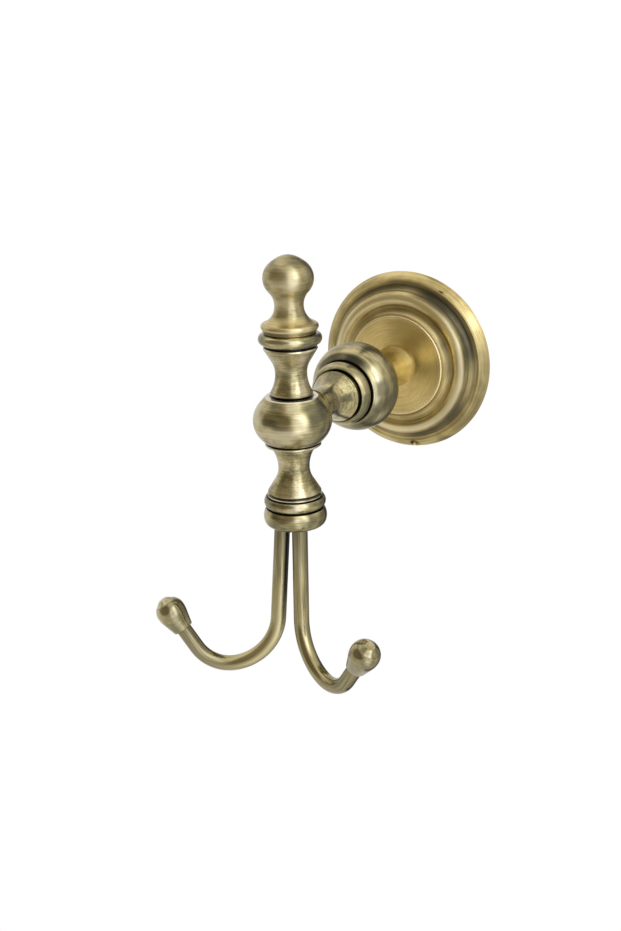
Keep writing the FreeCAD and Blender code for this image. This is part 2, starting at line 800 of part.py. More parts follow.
holder_blank = turned(
    "holder_blank",
    [
        corner("0", "0"),
        arc("holder_foot", "0", "holder_bulge_radius", "holder_bulge_height", "holder_foot_curve", "out"),
        arc("holder_bulge_radius + fine_edge / 3", "holder_bulge_height + fine_edge", "holder_top",
            "holder_height", "holder_bulge_curve", "out"),
        corner("column_stud_radius", "holder_height"),
        corner("column_stud_radius", "holder_height + holder_stem_length"),
        corner("0", "holder_height + holder_stem_length"),
    ],
    in_column(HOLDER_FOOT),
)
parts.remove(holder_blank)


# Column stud: it runs from the lower spool up into the finial.

STUD_FOOT = f"{HOLDER_TOP} + holder_stem_length + stud_end_gap"

column_stud = new_body("column_stud")
stud_section = new_sketch(column_stud, "XY_Plane", "section")
circle(stud_section, "0", "0", "column_stud_radius")
stud = column_stud.newObject("PartDesign::Pad", "column_stud_bar")
stud.Profile = stud_section
stud.setExpression("Length", cell(f"{FINIAL_AT} + stud_in_finial - ({STUD_FOOT})"))
column_stud.setExpression("Placement", cell(in_column(STUD_FOOT)))
doc.recompute()
parts.append(column_stud)


# Arm stud with its washer and nut, behind the rose's table.

WASHER_AT = "rose_depth - rose_wall - washer_thickness"
NUT_AT = f"{WASHER_AT} - nut_height"

arm_stud = new_body("arm_stud")
arm_stud_section = new_sketch(arm_stud, "XY_Plane", "section")
circle(arm_stud_section, "0", "0", "arm_stud_radius")
arm_bar = arm_stud.newObject("PartDesign::Pad", "arm_stud_bar")
arm_bar.Profile = arm_stud_section
arm_bar.setExpression(
    "Length", cell(f"{COLUMN_AT} - arm_seat + stud_in_body - ({NUT_AT} - stud_past_nut)")
)
arm_stud.setExpression("Placement", cell(along_arm(f"{NUT_AT} - stud_past_nut")))
doc.recompute()
parts.append(arm_stud)

arm_washer = turned(
    "arm_washer",
    [
        corner(ARM_HOLE, "0"),
        corner("washer_radius", "0"),
        corner("washer_radius", "washer_thickness"),
        corner(ARM_HOLE, "washer_thickness"),
    ],
    along_arm(WASHER_AT),
)

arm_nut = new_body("arm_nut")
nut_section = new_sketch(arm_nut, "XY_Plane", "section")
hexagon(nut_section, "nut_across_flats")
circle(nut_section, "0", "0", "arm_stud_radius")
nut = arm_nut.newObject("PartDesign::Pad", "nut_blank")
nut.Profile = nut_section
nut.setExpression("Length", cell("nut_height"))
arm_nut.setExpression("Placement", cell(along_arm(NUT_AT)))
doc.recompute()
parts.append(arm_nut)


# Hook rods: a straight leg, a wide bend, a tighter bend and a straight tail, all in one plane.


def total_turn(side):
    return f"({side}_wide_angle + {side}_tight_angle)"


def tail_end(side):
    """Where the knob's base sits, in the plane of the bent rod."""
    wide, tight = f"{side}_wide_radius", f"{side}_tight_radius"
    first, total = f"{side}_wide_angle", total_turn(side)
    across = (
        f"{wide} * (1 - cos({first})) + {tight} * (cos({first}) - cos({total}))"
        f" + {side}_tail * sin({total})"
    )
    upright = (
        f"-{side}_leg - {wide} * sin({first}) - {tight} * (sin({total}) - sin({first}))"
        f" - {side}_tail * cos({total})"
    )
    return across, upright


def rod_place(side):
    """Where a rod leaves the holder's foot: turned to its side, leaning out and forwards."""
    sign = {"left": "-", "right": ""}[side]
    azimuth = f"{sign}rod_splay_angle - 90"
    spot = f"vector({sign}rod_side_offset; -({COLUMN_AT}) - rod_front_offset; {HOLDER_FOOT})"
    turns = [
        f"placement({spot}; rotation(vector(1; 0; 0); -rod_forward_angle))",
        f"placement(vector(0; 0; 0); rotation(vector(0; 0; 1); {azimuth}))",
        "placement(vector(0; 0; 0); rotation(vector(0; 1; 0); -rod_outward_angle))",
    ]
    return " * ".join(turns)


def hook_rod(side):
    """A round bar swept along its bent path, its upper end in the holder."""
    label = f"{side}_hook_rod"
    body = new_body(label)
    path = new_sketch(body, "XZ_Plane", "path")
    leg, tail = number(f"{side}_leg"), number(f"{side}_tail + rod_in_knob")
    wide, tight = number(f"{side}_wide_radius"), number(f"{side}_tight_radius")
    first, total = math.radians(number(f"{side}_wide_angle")), math.radians(number(total_turn(side)))
    wide_centre = Vector(wide, -leg, 0)
    lowest = wide_centre + Vector(-math.cos(first), -math.sin(first), 0) * wide
    tight_centre = lowest + Vector(math.cos(first), math.sin(first), 0) * tight
    tail_start = tight_centre + Vector(-math.cos(total), -math.sin(total), 0) * tight
    bar_end = tail_start + Vector(math.sin(total), -math.cos(total), 0) * tail
    up = Vector(0, 0, 1)
    lines = [
        path.addGeometry(Part.LineSegment(Vector(0, number("rod_insert"), 0), Vector(0, -leg, 0)), False),
        path.addGeometry(
            Part.ArcOfCircle(Part.Circle(wide_centre, up, wide), math.pi, math.pi + first), False
        ),
        path.addGeometry(
            Part.ArcOfCircle(Part.Circle(tight_centre, up, tight), math.pi + first, math.pi + total), False
        ),
        path.addGeometry(Part.LineSegment(tail_start, bar_end), False),
    ]
    pin(path, lines[0], 1, "0", "rod_insert")
    pin(path, lines[0], 2, None, f"-{side}_leg")
    constrain(path, "Vertical", lines[0])
    for k in range(3):
        constrain(path, "Tangent", lines[k], 2, lines[k + 1], 1)
    for geo, radius, turn in (
        (lines[1], f"{side}_wide_radius", f"{side}_wide_angle"),
        (lines[2], f"{side}_tight_radius", f"{side}_tight_angle"),
    ):
        constrain(path, "Radius", geo, size=radius)
        index = path.addConstraint(Sketcher.Constraint("Angle", geo, math.radians(number(turn))))
        path.setExpression(f"Constraints[{index}]", f"{cell(turn)} * 1 deg")
    constrain(path, "Distance", lines[3], size=f"{side}_tail + rod_in_knob")
    section = new_sketch(body, "XY_Plane", "section")
    section.setExpression(".AttachmentOffset.Base.z", cell("rod_insert"))
    circle(section, "0", "0", "rod_radius")
    doc.recompute()
    bar = body.newObject("PartDesign::AdditivePipe", f"{label}_bar")
    bar.Profile = section
    bar.Spine = path
    body.setExpression("Placement", cell(rod_place(side)))
    doc.recompute()
    parts.append(body)
    return body


left_hook_rod = hook_rod("left")
right_hook_rod = hook_rod("right")


# The rods' blind holes in the holder are the rods' own shape.

drilled_once = doc.addObject("Part::Cut", "holder_drilled_once")
drilled_once.Base = holder_blank
drilled_once.Tool = left_hook_rod
rod_holder = doc.addObject("Part::Cut", "rod_holder")
rod_holder.Label = "rod_holder"
rod_holder.Base = drilled_once
rod_holder.Tool = right_hook_rod
doc.recompute()
parts.append(rod_holder)


# Knobs: pear-shaped, with a crisp facet round the tip, each pushed over its rod's tail.


def knob(side):
    across, upright = tail_end(side)
    place = (
        f"{rod_place(side)} * placement(vector({across}; 0; {upright});"
        f" rotation(vector(0; 1; 0); 180 - {total_turn(side)}))"
    )
    shoulder_rise = "(knob_belly_height - knob_shoulder_height)"
    shoulder_swell = "(knob_radius - knob_shoulder)"
    facet_rise = "(knob_facet_height - knob_belly_height - fine_edge)"
    facet_swell = "(knob_radius - knob_facet)"
    body = turned(
        f"{side}_knob",
        [
            corner("0", "rod_in_knob"),
            corner("rod_radius", "rod_in_knob"),
            corner("rod_radius", "0"),
            corner("knob_base", "0"),
            arc("knob_shoulder", "knob_shoulder_height", "knob_radius", "knob_belly_height",
                f"({shoulder_rise}^2 + {shoulder_swell}^2) / (2 * {shoulder_swell})", "out"),
            arc("knob_radius", "knob_belly_height + fine_edge", "knob_facet", "knob_facet_height",
                f"({facet_rise}^2 + {facet_swell}^2) / (2 * {facet_swell})", "out"),
            corner("knob_tip", "knob_length"),
            corner("0", "knob_length"),
        ],
        place,
    )
    soften(body, [("knob_base", "0"), ("knob_facet", "knob_facet_height")], "fine_edge")
    return body


left_knob = knob("left")
right_knob = knob("right")


# Every object is tested before anything is written.

doc.recompute()
for item in doc.Objects:
    if {"Invalid", "Error"} & set(item.State):
        raise RuntimeError(f"{item.Label} could not be computed: {item.State}")
for piece in parts:
    if piece.Shape.isNull() or not piece.Shape.isValid() or len(piece.Shape.Solids) != 1:
        raise RuntimeError(f"{piece.Label} is not one valid solid")

os.makedirs("parts", exist_ok=True)
for piece in parts:
    piece.Shape.exportStep(f"parts/{piece.Label}.step")
    box = piece.Shape.BoundBox
    spans = " ".join(f"{low:.2f}..{high:.2f}" for low, high in (
        (box.XMin, box.XMax), (box.YMin, box.YMax), (box.ZMin, box.ZMax)))
    print(f"{piece.Label}: {piece.Shape.Volume:.1f} mm3, {spans}")
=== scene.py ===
# %% [markdown]
# # A double robe hook in antique brass
#
# The object is a turned brass robe hook: a round rose on the wall, a short arm, and a column of
# balls and spools that carries two bent hooks with pear-shaped knobs. This lesson loads the exact
# model as a frame and gives every piece its finish. Only the two bent bars are modelled again,
# because their brushed lines have to follow the bends. All lengths are in metres. The wall is
# at y = 0 and the arm points along -Y.

# %% Load the frame
import math

import bpy
from mathutils import Euler, Matrix, Vector


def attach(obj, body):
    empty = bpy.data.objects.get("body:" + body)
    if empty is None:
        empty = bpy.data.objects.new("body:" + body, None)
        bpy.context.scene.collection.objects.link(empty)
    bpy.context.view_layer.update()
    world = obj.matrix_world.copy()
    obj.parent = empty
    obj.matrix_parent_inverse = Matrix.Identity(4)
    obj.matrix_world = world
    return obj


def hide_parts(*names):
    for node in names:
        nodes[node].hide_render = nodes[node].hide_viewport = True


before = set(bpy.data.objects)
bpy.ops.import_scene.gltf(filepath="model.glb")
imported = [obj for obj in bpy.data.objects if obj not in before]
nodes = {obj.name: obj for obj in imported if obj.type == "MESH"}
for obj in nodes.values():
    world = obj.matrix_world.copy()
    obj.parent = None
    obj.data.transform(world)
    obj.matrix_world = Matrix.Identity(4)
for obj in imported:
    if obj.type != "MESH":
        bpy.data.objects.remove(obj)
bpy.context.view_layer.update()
print("pieces in the frame:", len(nodes))

# %% [markdown]
# ## Lengths and axes
#
# The drawing of the hook is in millimetres, so a small constant turns them into metres. Almost all
# pieces are turned on a lathe, and each has one of two axes: the arm's, which runs out from the wall
# at x = z = 0, or the column's, which stands upright 70.4 mm in front of the wall.

# %% Lengths and axes
MM = 0.001
COLUMN_FOOT = Vector((0.0, -70.4 * MM, 0.0))
ARM_FOOT = Vector((0.0, 0.0, 0.0))
UPRIGHT = (0.0, 0.0, 0.0)
OUT_FROM_WALL = (math.radians(90), 0.0, 0.0)
print("the column stands at", [round(v, 4) for v in COLUMN_FOOT])

# %% [markdown]
# ## The camera
#
# The photograph was taken from the right and a little above, with a lens that is long enough to keep
# the perspective gentle. A camera is aimed by turning its own -Z axis towards the subject, and then
# rolled a little about that axis, because the photographer's camera wasn't quite level. The focal
# length was found in pixels of the photograph, so it is divided by the photograph's height and
# multiplied by the sensor's.

# %% Camera
CAMERA_PLACE = Vector((165.62, -351.87, 95.58)) * MM
AIMED_AT = Vector((5.79, -71.66, -11.86)) * MM
ROLL = math.radians(-1.56)
SENSOR_HEIGHT = 24.0
PHOTO_HEIGHT = 931
FOCAL_LENGTH_IN_PHOTO = 1289
NEAREST_SEEN = 0.01
FARTHEST_SEEN = 20.0

camera_data = bpy.data.cameras.new("camera")
camera_data.sensor_fit = "VERTICAL"
camera_data.sensor_height = SENSOR_HEIGHT
camera_data.lens = FOCAL_LENGTH_IN_PHOTO / PHOTO_HEIGHT * SENSOR_HEIGHT
camera_data.clip_start = NEAREST_SEEN
camera_data.clip_end = FARTHEST_SEEN
camera = bpy.data.objects.new("camera", camera_data)
bpy.context.scene.collection.objects.link(camera)
aim = (AIMED_AT - CAMERA_PLACE).to_track_quat("-Z", "Y").to_matrix().to_4x4()
camera.matrix_world = Matrix.Translation(CAMERA_PLACE) @ aim @ Matrix.Rotation(ROLL, 4, "Z")
bpy.context.scene.camera = camera
print("lens in millimetres:", round(camera_data.lens, 2))

# %% [markdown]
# ## The floor
#
# The photograph has plain white all round the hook, which hangs in the air. The floor lies far below
# it and glows evenly, so it shows as the same white, and it takes no part in lighting the metal or
# in what the metal mirrors. The view transform is Standard, which keeps white as white.

# %% White floor
FLOOR_HEIGHT = -0.6
FLOOR_RADIUS = 6.0
FLOOR_CORNERS = 64
WHITE = (1.0, 1.0, 1.0, 1.0)

bpy.ops.object.select_all(action="DESELECT")
bpy.ops.mesh.primitive_circle_add(
    vertices=FLOOR_CORNERS, radius=FLOOR_RADIUS, fill_type="NGON", location=(0.0, 0.0, FLOOR_HEIGHT)
)
floor = bpy.context.object
floor.name = "floor"
floor_paint = bpy.data.materials.new("white_floor")
floor_paint.use_nodes = True
floor_paint.node_tree.nodes.clear()
glow = floor_paint.node_tree.nodes.new("ShaderNodeEmission")
glow.inputs["Color"].default_value = WHITE
glow.inputs["Strength"].default_value = 1.0
floor_out = floor_paint.node_tree.nodes.new("ShaderNodeOutputMaterial")
floor_paint.node_tree.links.new(glow.outputs[0], floor_out.inputs["Surface"])
floor.data.materials.append(floor_paint)
floor.visible_diffuse = False
floor.visible_glossy = False
bpy.context.scene.view_settings.view_transform = "Standard"
print("the floor lies", -FLOOR_HEIGHT, "m below the arm")

# %% [markdown]
# ## The studio
#
# The hook was photographed in a white tent of cloth, which has no corners and throws no hard shadow.
# Metal shows what is around it, so the surroundings matter more than any lamp. They are painted on
# the world by direction, in soft patches: a pale tent that grows brighter upwards, a tall bright
# panel to the right with a brighter core and a faint foot, the dark brown opening in front through
# which the picture is taken, and a shaded back that is darkest straight behind the hook. The camera
# itself sees only plain white. Azimuth 0 is in front of the wall and 90 is to the right.


# %% Helpers for node trees
def add_node(tree, kind, **settings):
    """A new node in that tree, with its settings."""
    node = tree.nodes.new(kind)
    for key, value in settings.items():
        setattr(node, key, value)
    return node


def maths(tree, operation, first, second=None):
    """A Math node. Each side is a socket or a number. Returns its output."""
    node = add_node(tree, "ShaderNodeMath", operation=operation)
    for socket, value in zip(node.inputs, (first, second)):
        if value is None:
            continue
        if isinstance(value, (int, float)):
            socket.default_value = value
        else:
            tree.links.new(value, socket)
    return node.outputs[0]


def left_over(tree, value):
    """1 minus a value."""
    return maths(tree, "SUBTRACT", 1.0, value)


def smooth_step(tree, value, start, end):
    """0 before the start and 1 after the end, with a smooth rise between."""
    node = add_node(tree, "ShaderNodeMapRange", interpolation_type="SMOOTHSTEP")
    tree.links.new(value, node.inputs["Value"])
    node.inputs["From Min"].default_value = start
    node.inputs["From Max"].default_value = end
    return node.outputs["Result"]


def separate(tree, vector):
    """The X, Y and Z of a vector."""
    node = add_node(tree, "ShaderNodeSeparateXYZ")
    tree.links.new(vector, node.inputs[0])
    return node.outputs["X"], node.outputs["Y"], node.outputs["Z"]


# %% Surroundings painted on the world
world = bpy.data.worlds.new("studio")
bpy.context.scene.world = world
world.use_nodes = True
sky = world.node_tree
sky.nodes.clear()
direction = add_node(sky, "ShaderNodeTexCoord").outputs["Generated"]
to_right, to_wall, upwards = separate(sky, direction)
from_wall = maths(sky, "MULTIPLY", to_wall, -1.0)
azimuth = maths(sky, "DEGREES", maths(sky, "ARCTAN2", to_right, from_wall))
elevation = maths(sky, "DEGREES", maths(sky, "ARCSINE", upwards))


def patch(centre, half_size, softness):
    """A soft oval patch in the surroundings, in degrees: 1 inside, 0 outside."""
    across = maths(sky, "SUBTRACT", azimuth, centre[0])
    upright = maths(sky, "SUBTRACT", elevation, centre[1])
    parts = []
    for offset, half in zip((across, upright), half_size):
        share = maths(sky, "DIVIDE", offset, half)
        parts.append(maths(sky, "MULTIPLY", share, share))
    reach = maths(sky, "SQRT", maths(sky, "ADD", *parts))
    return left_over(sky, smooth_step(sky, reach, 1.0 - softness, 1.0 + softness))


TENT = 0.74
TENT_TOP = 0.30
TENT_RISE = (0.0, 60.0)
PANEL = 0.85
PANEL_PATCH = ((54.0, 16.0), (25.0, 44.0), 0.4)
PANEL_CORE = 1.35
CORE_PATCH = ((70.0, 32.0), (12.0, 31.0), 0.5)
PANEL_FOOT = 0.5
FOOT_PATCH = ((52.0, -36.0), (26.0, 24.0), 0.4)
CAMERA_DARK = 0.86
OPENING_PATCH = ((-24.0, 24.0), (51.0, 37.0), 0.22)
BROWN_ROOM = 0.17
BACK_DARK = 0.5
BACK_PATCH = ((158.0, -8.0), (32.0, 52.0), 0.4)
BEHIND_DARK = 0.8
BEHIND_EDGE = (156.0, 172.0)
WARM_WHITE = (1.0, 0.985, 0.95, 1.0)
COOL_WHITE = (0.91, 0.98, 1.20, 1.0)
ROOM_BROWN = (1.0, 0.80, 0.42, 1.0)

rise = smooth_step(sky, elevation, *TENT_RISE)
tent = maths(sky, "ADD", TENT, maths(sky, "MULTIPLY", rise, TENT_TOP))
panel = maths(sky, "MULTIPLY", patch(*PANEL_PATCH), PANEL)
core = maths(sky, "MULTIPLY", patch(*CORE_PATCH), PANEL_CORE)
foot = maths(sky, "MULTIPLY", patch(*FOOT_PATCH), PANEL_FOOT)
opening = patch(*OPENING_PATCH)
camera_side = maths(sky, "MULTIPLY", opening, CAMERA_DARK)
back_side = maths(sky, "MULTIPLY", patch(*BACK_PATCH), BACK_DARK)
straight_behind = smooth_step(sky, maths(sky, "ABSOLUTE", azimuth), *BEHIND_EDGE)
behind = maths(sky, "MULTIPLY", straight_behind, BEHIND_DARK)
for shade in (camera_side, back_side, behind):
    tent = maths(sky, "MULTIPLY", tent, left_over(sky, shade))
panels = maths(sky, "ADD", maths(sky, "ADD", panel, core), foot)


# %% Shaders of the world
def background(colour, strength=None):
    """A Background shader of the world, with a fixed or a linked strength."""
    shader = add_node(sky, "ShaderNodeBackground")
    shader.inputs["Color"].default_value = colour
    if strength is not None:
        sky.links.new(strength, shader.inputs["Strength"])
    return shader.outputs[0]


def both(first, second):
    """The light of two shaders together."""
    node = add_node(sky, "ShaderNodeAddShader")
    sky.links.new(first, node.inputs[0])
    sky.links.new(second, node.inputs[1])
    return node.outputs[0]


lit_tent = both(background(WARM_WHITE, tent), background(COOL_WHITE, panels))
surroundings = both(lit_tent, background(ROOM_BROWN, maths(sky, "MULTIPLY", opening, BROWN_ROOM)))
ray = add_node(sky, "ShaderNodeLightPath")
choice = add_node(sky, "ShaderNodeMixShader")
sky.links.new(ray.outputs["Is Camera Ray"], choice.inputs["Fac"])
sky.links.new(surroundings, choice.inputs[1])
sky.links.new(background(WHITE), choice.inputs[2])
world_out = add_node(sky, "ShaderNodeOutputWorld")
sky.links.new(choice.outputs[0], world_out.inputs["Surface"])
print("nodes in the world:", len(sky.nodes))

# %% [markdown]
# ## Brush lines
#
# The brass was brushed while it turned on the lathe, so fine lines run round each piece. A noise
# texture becomes lines when it is squeezed: it changes quickly along the axis and outwards from it,
# and slowly round it. The direction round the axis is read from the unit vector away from the axis,
# which has no seam, where an angle would jump from 360 to 0 degrees. Many finishes use this, so it
# is a node group with named inputs.


# %% Helpers for the groups
def combine(tree, *parts):
    """A vector from two or three sockets."""
    node = add_node(tree, "ShaderNodeCombineXYZ")
    for part, socket in zip(parts, node.inputs):
        tree.links.new(part, socket)
    return node.outputs[0]


def vector_maths(tree, operation, first, second=None):
    """A Vector Math node. Each side is a socket or a vector. Returns its output."""
    node = add_node(tree, "ShaderNodeVectorMath", operation=operation)
    second_socket = node.inputs["Scale"] if operation == "SCALE" else node.inputs[1]
    for socket, value in ((node.inputs[0], first), (second_socket, second)):
        if isinstance(value, bpy.types.NodeSocket):
            tree.links.new(value, socket)
        elif value is not None:
            socket.default_value = value
    gives_number = operation in ("LENGTH", "DISTANCE", "DOT_PRODUCT")
    return node.outputs["Value" if gives_number else "Vector"]


def noise(tree, place, seed, detail, roughness, edges):
    """Noise at a place, spread so that it is 0 below the first edge and 1 above the second."""
    node = add_node(tree, "ShaderNodeTexNoise", noise_dimensions="4D")
    node.inputs["Scale"].default_value = 1.0
    node.inputs["Detail"].default_value = detail
    node.inputs["Roughness"].default_value = roughness
    tree.links.new(place, node.inputs["Vector"])
    tree.links.new(seed, node.inputs["W"])
    return smooth_step(tree, node.outputs[0], *edges)


def new_group(name, inputs, outputs):
    """An empty node group with named float or vector sockets. Returns it with its two end nodes."""
    group = bpy.data.node_groups.new(name, "ShaderNodeTree")
    kinds = {"vector": "NodeSocketVector", "value": "NodeSocketFloat"}
    for label, kind, start in inputs:
        socket = group.interface.new_socket(label, in_out="INPUT", socket_type=kinds[kind])
        if start is not None:
            socket.default_value = start
    for label, kind in outputs:
        group.interface.new_socket(label, in_out="OUTPUT", socket_type=kinds[kind])
    return group, group.nodes.new("NodeGroupInput"), group.nodes.new("NodeGroupOutput")


# %% Group of brush lines
LINE_EDGES = (0.3, 0.7)

brush_group, brush_in, brush_out = new_group(
    "brush_lines",
    [("Vector", "vector", None), ("Line Width", "value", 0.2 * MM), ("Streaks", "value", 3.0),
     ("Seed", "value", 0.0)],
    [("Lines", "value")],
)
line_width = brush_in.outputs["Line Width"]
brush_x, brush_y, brush_height = separate(brush_group, brush_in.outputs["Vector"])
from_axis = combine(brush_group, brush_x, brush_y)
around = vector_maths(brush_group, "NORMALIZE", from_axis)
around = vector_maths(brush_group, "SCALE", around, brush_in.outputs["Streaks"])
lines_up = maths(brush_group, "DIVIDE", brush_height, line_width)
squeezed = combine(brush_group, *separate(brush_group, around)[:2], lines_up)
lines_out = maths(brush_group, "DIVIDE", vector_maths(brush_group, "LENGTH", from_axis), line_width)
seeded = maths(brush_group, "ADD", lines_out, brush_in.outputs["Seed"])
brush_lines = noise(brush_group, squeezed, seeded, detail=3.0, roughness=0.65, edges=LINE_EDGES)
brush_group.links.new(brush_lines, brush_out.inputs["Lines"])
print("brush lines use", len(brush_group.nodes), "nodes")

# %% [markdown]
# ## Patina
#
# Antique brass is darkened in a bath and then brushed bright again, so the dark colour stays in
# clouds, in the fine lines and in the grooves. A second group gives the clouds, from one soft noise.
# A third gives the height along an axis and the distance from it. A fourth gives a soft band at
# some height or distance, which paints shade with dark colour into a groove, or paints wear and a
# highlight onto a corner.

# %% Group of patina clouds
CLOUD_EDGES = (0.35, 0.68)

patina_group, patina_in, patina_out = new_group(
    "patina_clouds",
    [("Vector", "vector", None), ("Cloud Size", "value", 6.0 * MM), ("Seed", "value", 0.0)],
    [("Clouds", "value")],
)
per_cloud = maths(patina_group, "DIVIDE", 1.0, patina_in.outputs["Cloud Size"])
scaled = vector_maths(patina_group, "SCALE", patina_in.outputs["Vector"], per_cloud)
patina_seed = patina_in.outputs["Seed"]
patina_clouds = noise(patina_group, scaled, patina_seed, detail=2.0, roughness=0.5, edges=CLOUD_EDGES)
patina_group.links.new(patina_clouds, patina_out.inputs["Clouds"])

# %% Groups for bands along and round the axis
BAND_EDGES = (0.55, 1.45)

place_group, place_in, place_out = new_group(
    "height_and_radius", [("Vector", "vector", None)], [("Height", "value"), ("Radius", "value")]
)
place_x, place_y, place_height = separate(place_group, place_in.outputs["Vector"])
place_radius = vector_maths(place_group, "LENGTH", combine(place_group, place_x, place_y))
place_group.links.new(place_height, place_out.inputs["Height"])
place_group.links.new(place_radius, place_out.inputs["Radius"])

band_group, band_in, band_out = new_group(
    "soft_band",
    [("Distance", "value", 0.0), ("Middle", "value", 0.0), ("Half Width", "value", 0.3 * MM)],
    [("Band", "value")],
)
off = maths(band_group, "SUBTRACT", band_in.outputs["Distance"], band_in.outputs["Middle"])
nearness = maths(band_group, "DIVIDE", maths(band_group, "ABSOLUTE", off), band_in.outputs["Half Width"])
soft_band = left_over(band_group, smooth_step(band_group, nearness, *BAND_EDGES))
band_group.links.new(soft_band, band_out.inputs["Band"])
print("groups so far:", [g.name for g in bpy.data.node_groups])

# %% [markdown]
# ## The turned brass material
#
# One function makes the brass of a turned piece. It is given the piece's axis, so that the lines run
# round that piece, and the heights of its grooves, which get painted shade, and of its corners of
# wear and painted highlight. The lines and clouds change colour, roughness and bump together, as they
# do on the real metal. A thin clear lacquer lies over it. The highlight of brushed metal is drawn
# out across the lines, which the anisotropy gives, once it knows which way the lines run: that is the
# cross product of the axis and the place.

# %% Colours of antique brass
BRIGHT_BRASS = (0.66, 0.58, 0.37, 1.0)
GOLDEN_BRASS = (0.43, 0.36, 0.17, 1.0)
OLIVE_BRASS = (0.175, 0.162, 0.085, 1.0)
BAR_LIGHT = (0.55, 0.48, 0.29, 1.0)
# Painted light for the wide bends of the bars.
BAR_BEND_LIGHT = (0.65, 0.56, 0.29, 1.0)
SOFT_DEEP = (0.24, 0.21, 0.11, 1.0)
SOFT_GOLD = (0.46, 0.385, 0.19, 1.0)
SOFT_LIGHT = (0.60, 0.51, 0.30, 1.0)
SPOOL_DEEP = (0.23, 0.20, 0.09, 1.0)
SPOOL_GOLD = (0.54, 0.45, 0.20, 1.0)
# Dark patina for the coves, also used as painted shade under the holder and along the tails.
DEEP_PATINA_AND_SHADE = (0.10, 0.088, 0.052, 1.0)
# Painted shade and dark reflections on one side of a piece, with some patina.
SHADE_AND_PATINA_DARK = (0.052, 0.050, 0.034, 1.0)
GROOVE_DARK = (0.010, 0.009, 0.007, 1.0)
# Light wear, also used for painted highlights and glints.
WORN_AND_SHEEN_LIGHT = (0.90, 0.82, 0.62, 1.0)
ROSE_DEEP = (0.45, 0.345, 0.14, 1.0)
ROSE_GOLD = (0.81, 0.63, 0.255, 1.0)
ROSE_BRIGHT = (0.90, 0.76, 0.40, 1.0)
ROSE_WORN_AND_SHEEN = (0.96, 0.83, 0.51, 1.0)
GILDED = (0.99, 0.76, 0.31, 1.0)
NECK_GOLD = (0.58, 0.48, 0.24, 1.0)
NECK_BRIGHT = (0.86, 0.76, 0.48, 1.0)
print("brightest brass:", BRIGHT_BRASS[:3])


# %% Small helpers for material trees
def use_group(tree, group, feed, **values):
    """A placed group. Its first input is fed with that socket, the others with values."""
    node = add_node(tree, "ShaderNodeGroup", node_tree=group)
    tree.links.new(feed, node.inputs[0])
    for label, value in values.items():
        node.inputs[label.replace("_", " ")].default_value = value
    return node.outputs


def blend_colour(tree, amount, first, second):
    """A mix of two colours, each a colour or a socket."""
    node = add_node(tree, "ShaderNodeMix", data_type="RGBA")
    tree.links.new(amount, node.inputs["Factor"])
    sides = [socket for socket in node.inputs if socket.type == "RGBA"]
    for socket, value in zip(sides, (first, second)):
        if isinstance(value, tuple):
            socket.default_value = value
        else:
            tree.links.new(value, socket)
    return next(socket for socket in node.outputs if socket.type == "RGBA")


def add_share(tree, value, other, share):
    """A value with a share of another added to it."""
    return maths(tree, "ADD", value, maths(tree, "MULTIPLY", other, share))


def metal(name):
    """A new material of bare metal. Returns it with its tree and shader."""
    paint = bpy.data.materials.new(name)
    paint.use_nodes = True
    shader = paint.node_tree.nodes["Principled BSDF"]
    shader.inputs["Metallic"].default_value = 1.0
    return paint, paint.node_tree, shader


def seen_from_axis(tree, foot, turn):
    """The place on the piece, and the same place measured from an axis through foot."""
    place = add_node(tree, "ShaderNodeTexCoord").outputs["Object"]
    centred = add_node(tree, "ShaderNodeMapping", vector_type="TEXTURE")
    centred.inputs["Location"].default_value = foot
    centred.inputs["Rotation"].default_value = turn
    tree.links.new(place, centred.inputs["Vector"])
    return place, centred.outputs[0]


def add_relief(tree, shader, height, depth):
    """A fine bump of that depth."""
    relief = add_node(tree, "ShaderNodeBump")
    relief.inputs["Distance"].default_value = depth
    tree.links.new(height, relief.inputs["Height"])
    tree.links.new(relief.outputs[0], shader.inputs["Normal"])


def dress(piece, paint):
    """Give a piece that material and no other."""
    piece.data.materials.clear()
    piece.data.materials.append(paint)


# %% Brass under lacquer
BRUSHED_ANISOTROPY = 0.75
QUARTER_TURN = 0.25
LACQUER_ROUGHNESS = 0.15
LINE_SHARE = 0.55
STROKE_SHARE = 0.45
MIDDLE_TONES = (0.12, 0.62)
LIGHT_TONES = (0.45, 0.9)
SMOOTHER_LINES = -0.07
SMOOTHER_CLOUDS = -0.04


def brass_tree(name, coat):
    """A new material of brushed brass under a thin lacquer. Returns it with its tree and shader."""
    paint, tree, shader = metal(name)
    shader.inputs["Anisotropic"].default_value = BRUSHED_ANISOTROPY
    shader.inputs["Anisotropic Rotation"].default_value = QUARTER_TURN
    shader.inputs["Coat Weight"].default_value = coat
    shader.inputs["Coat Roughness"].default_value = LACQUER_ROUGHNESS
    return paint, tree, shader


def finish_brass(tree, shader, lines, strokes, clouds, look, bump):
    """Colour, roughness and bump from the lines, strokes and clouds. Returns the first two."""
    fine = add_share(tree, maths(tree, "MULTIPLY", lines, LINE_SHARE), strokes, STROKE_SHARE)
    lined = maths(tree, "MULTIPLY", fine, look["lined"])
    tone = maths(tree, "ADD", maths(tree, "MULTIPLY", clouds, 1.0 - look["lined"]), lined)
    colour = blend_colour(tree, smooth_step(tree, tone, *MIDDLE_TONES), look["dark"], look["middle"])
    colour = blend_colour(tree, smooth_step(tree, tone, *LIGHT_TONES), colour, look["light"])
    roughness = add_share(tree, look["roughness"], fine, SMOOTHER_LINES)
    roughness = add_share(tree, roughness, clouds, SMOOTHER_CLOUDS)
    add_relief(tree, shader, fine, bump * MM)
    return colour, roughness


# %% Bands and marks
def greatest(tree, values):
    """The greatest of several values, or None where there are none."""
    most = None
    for value in values:
        most = value if most is None else maths(tree, "MAXIMUM", most, value)
    return most


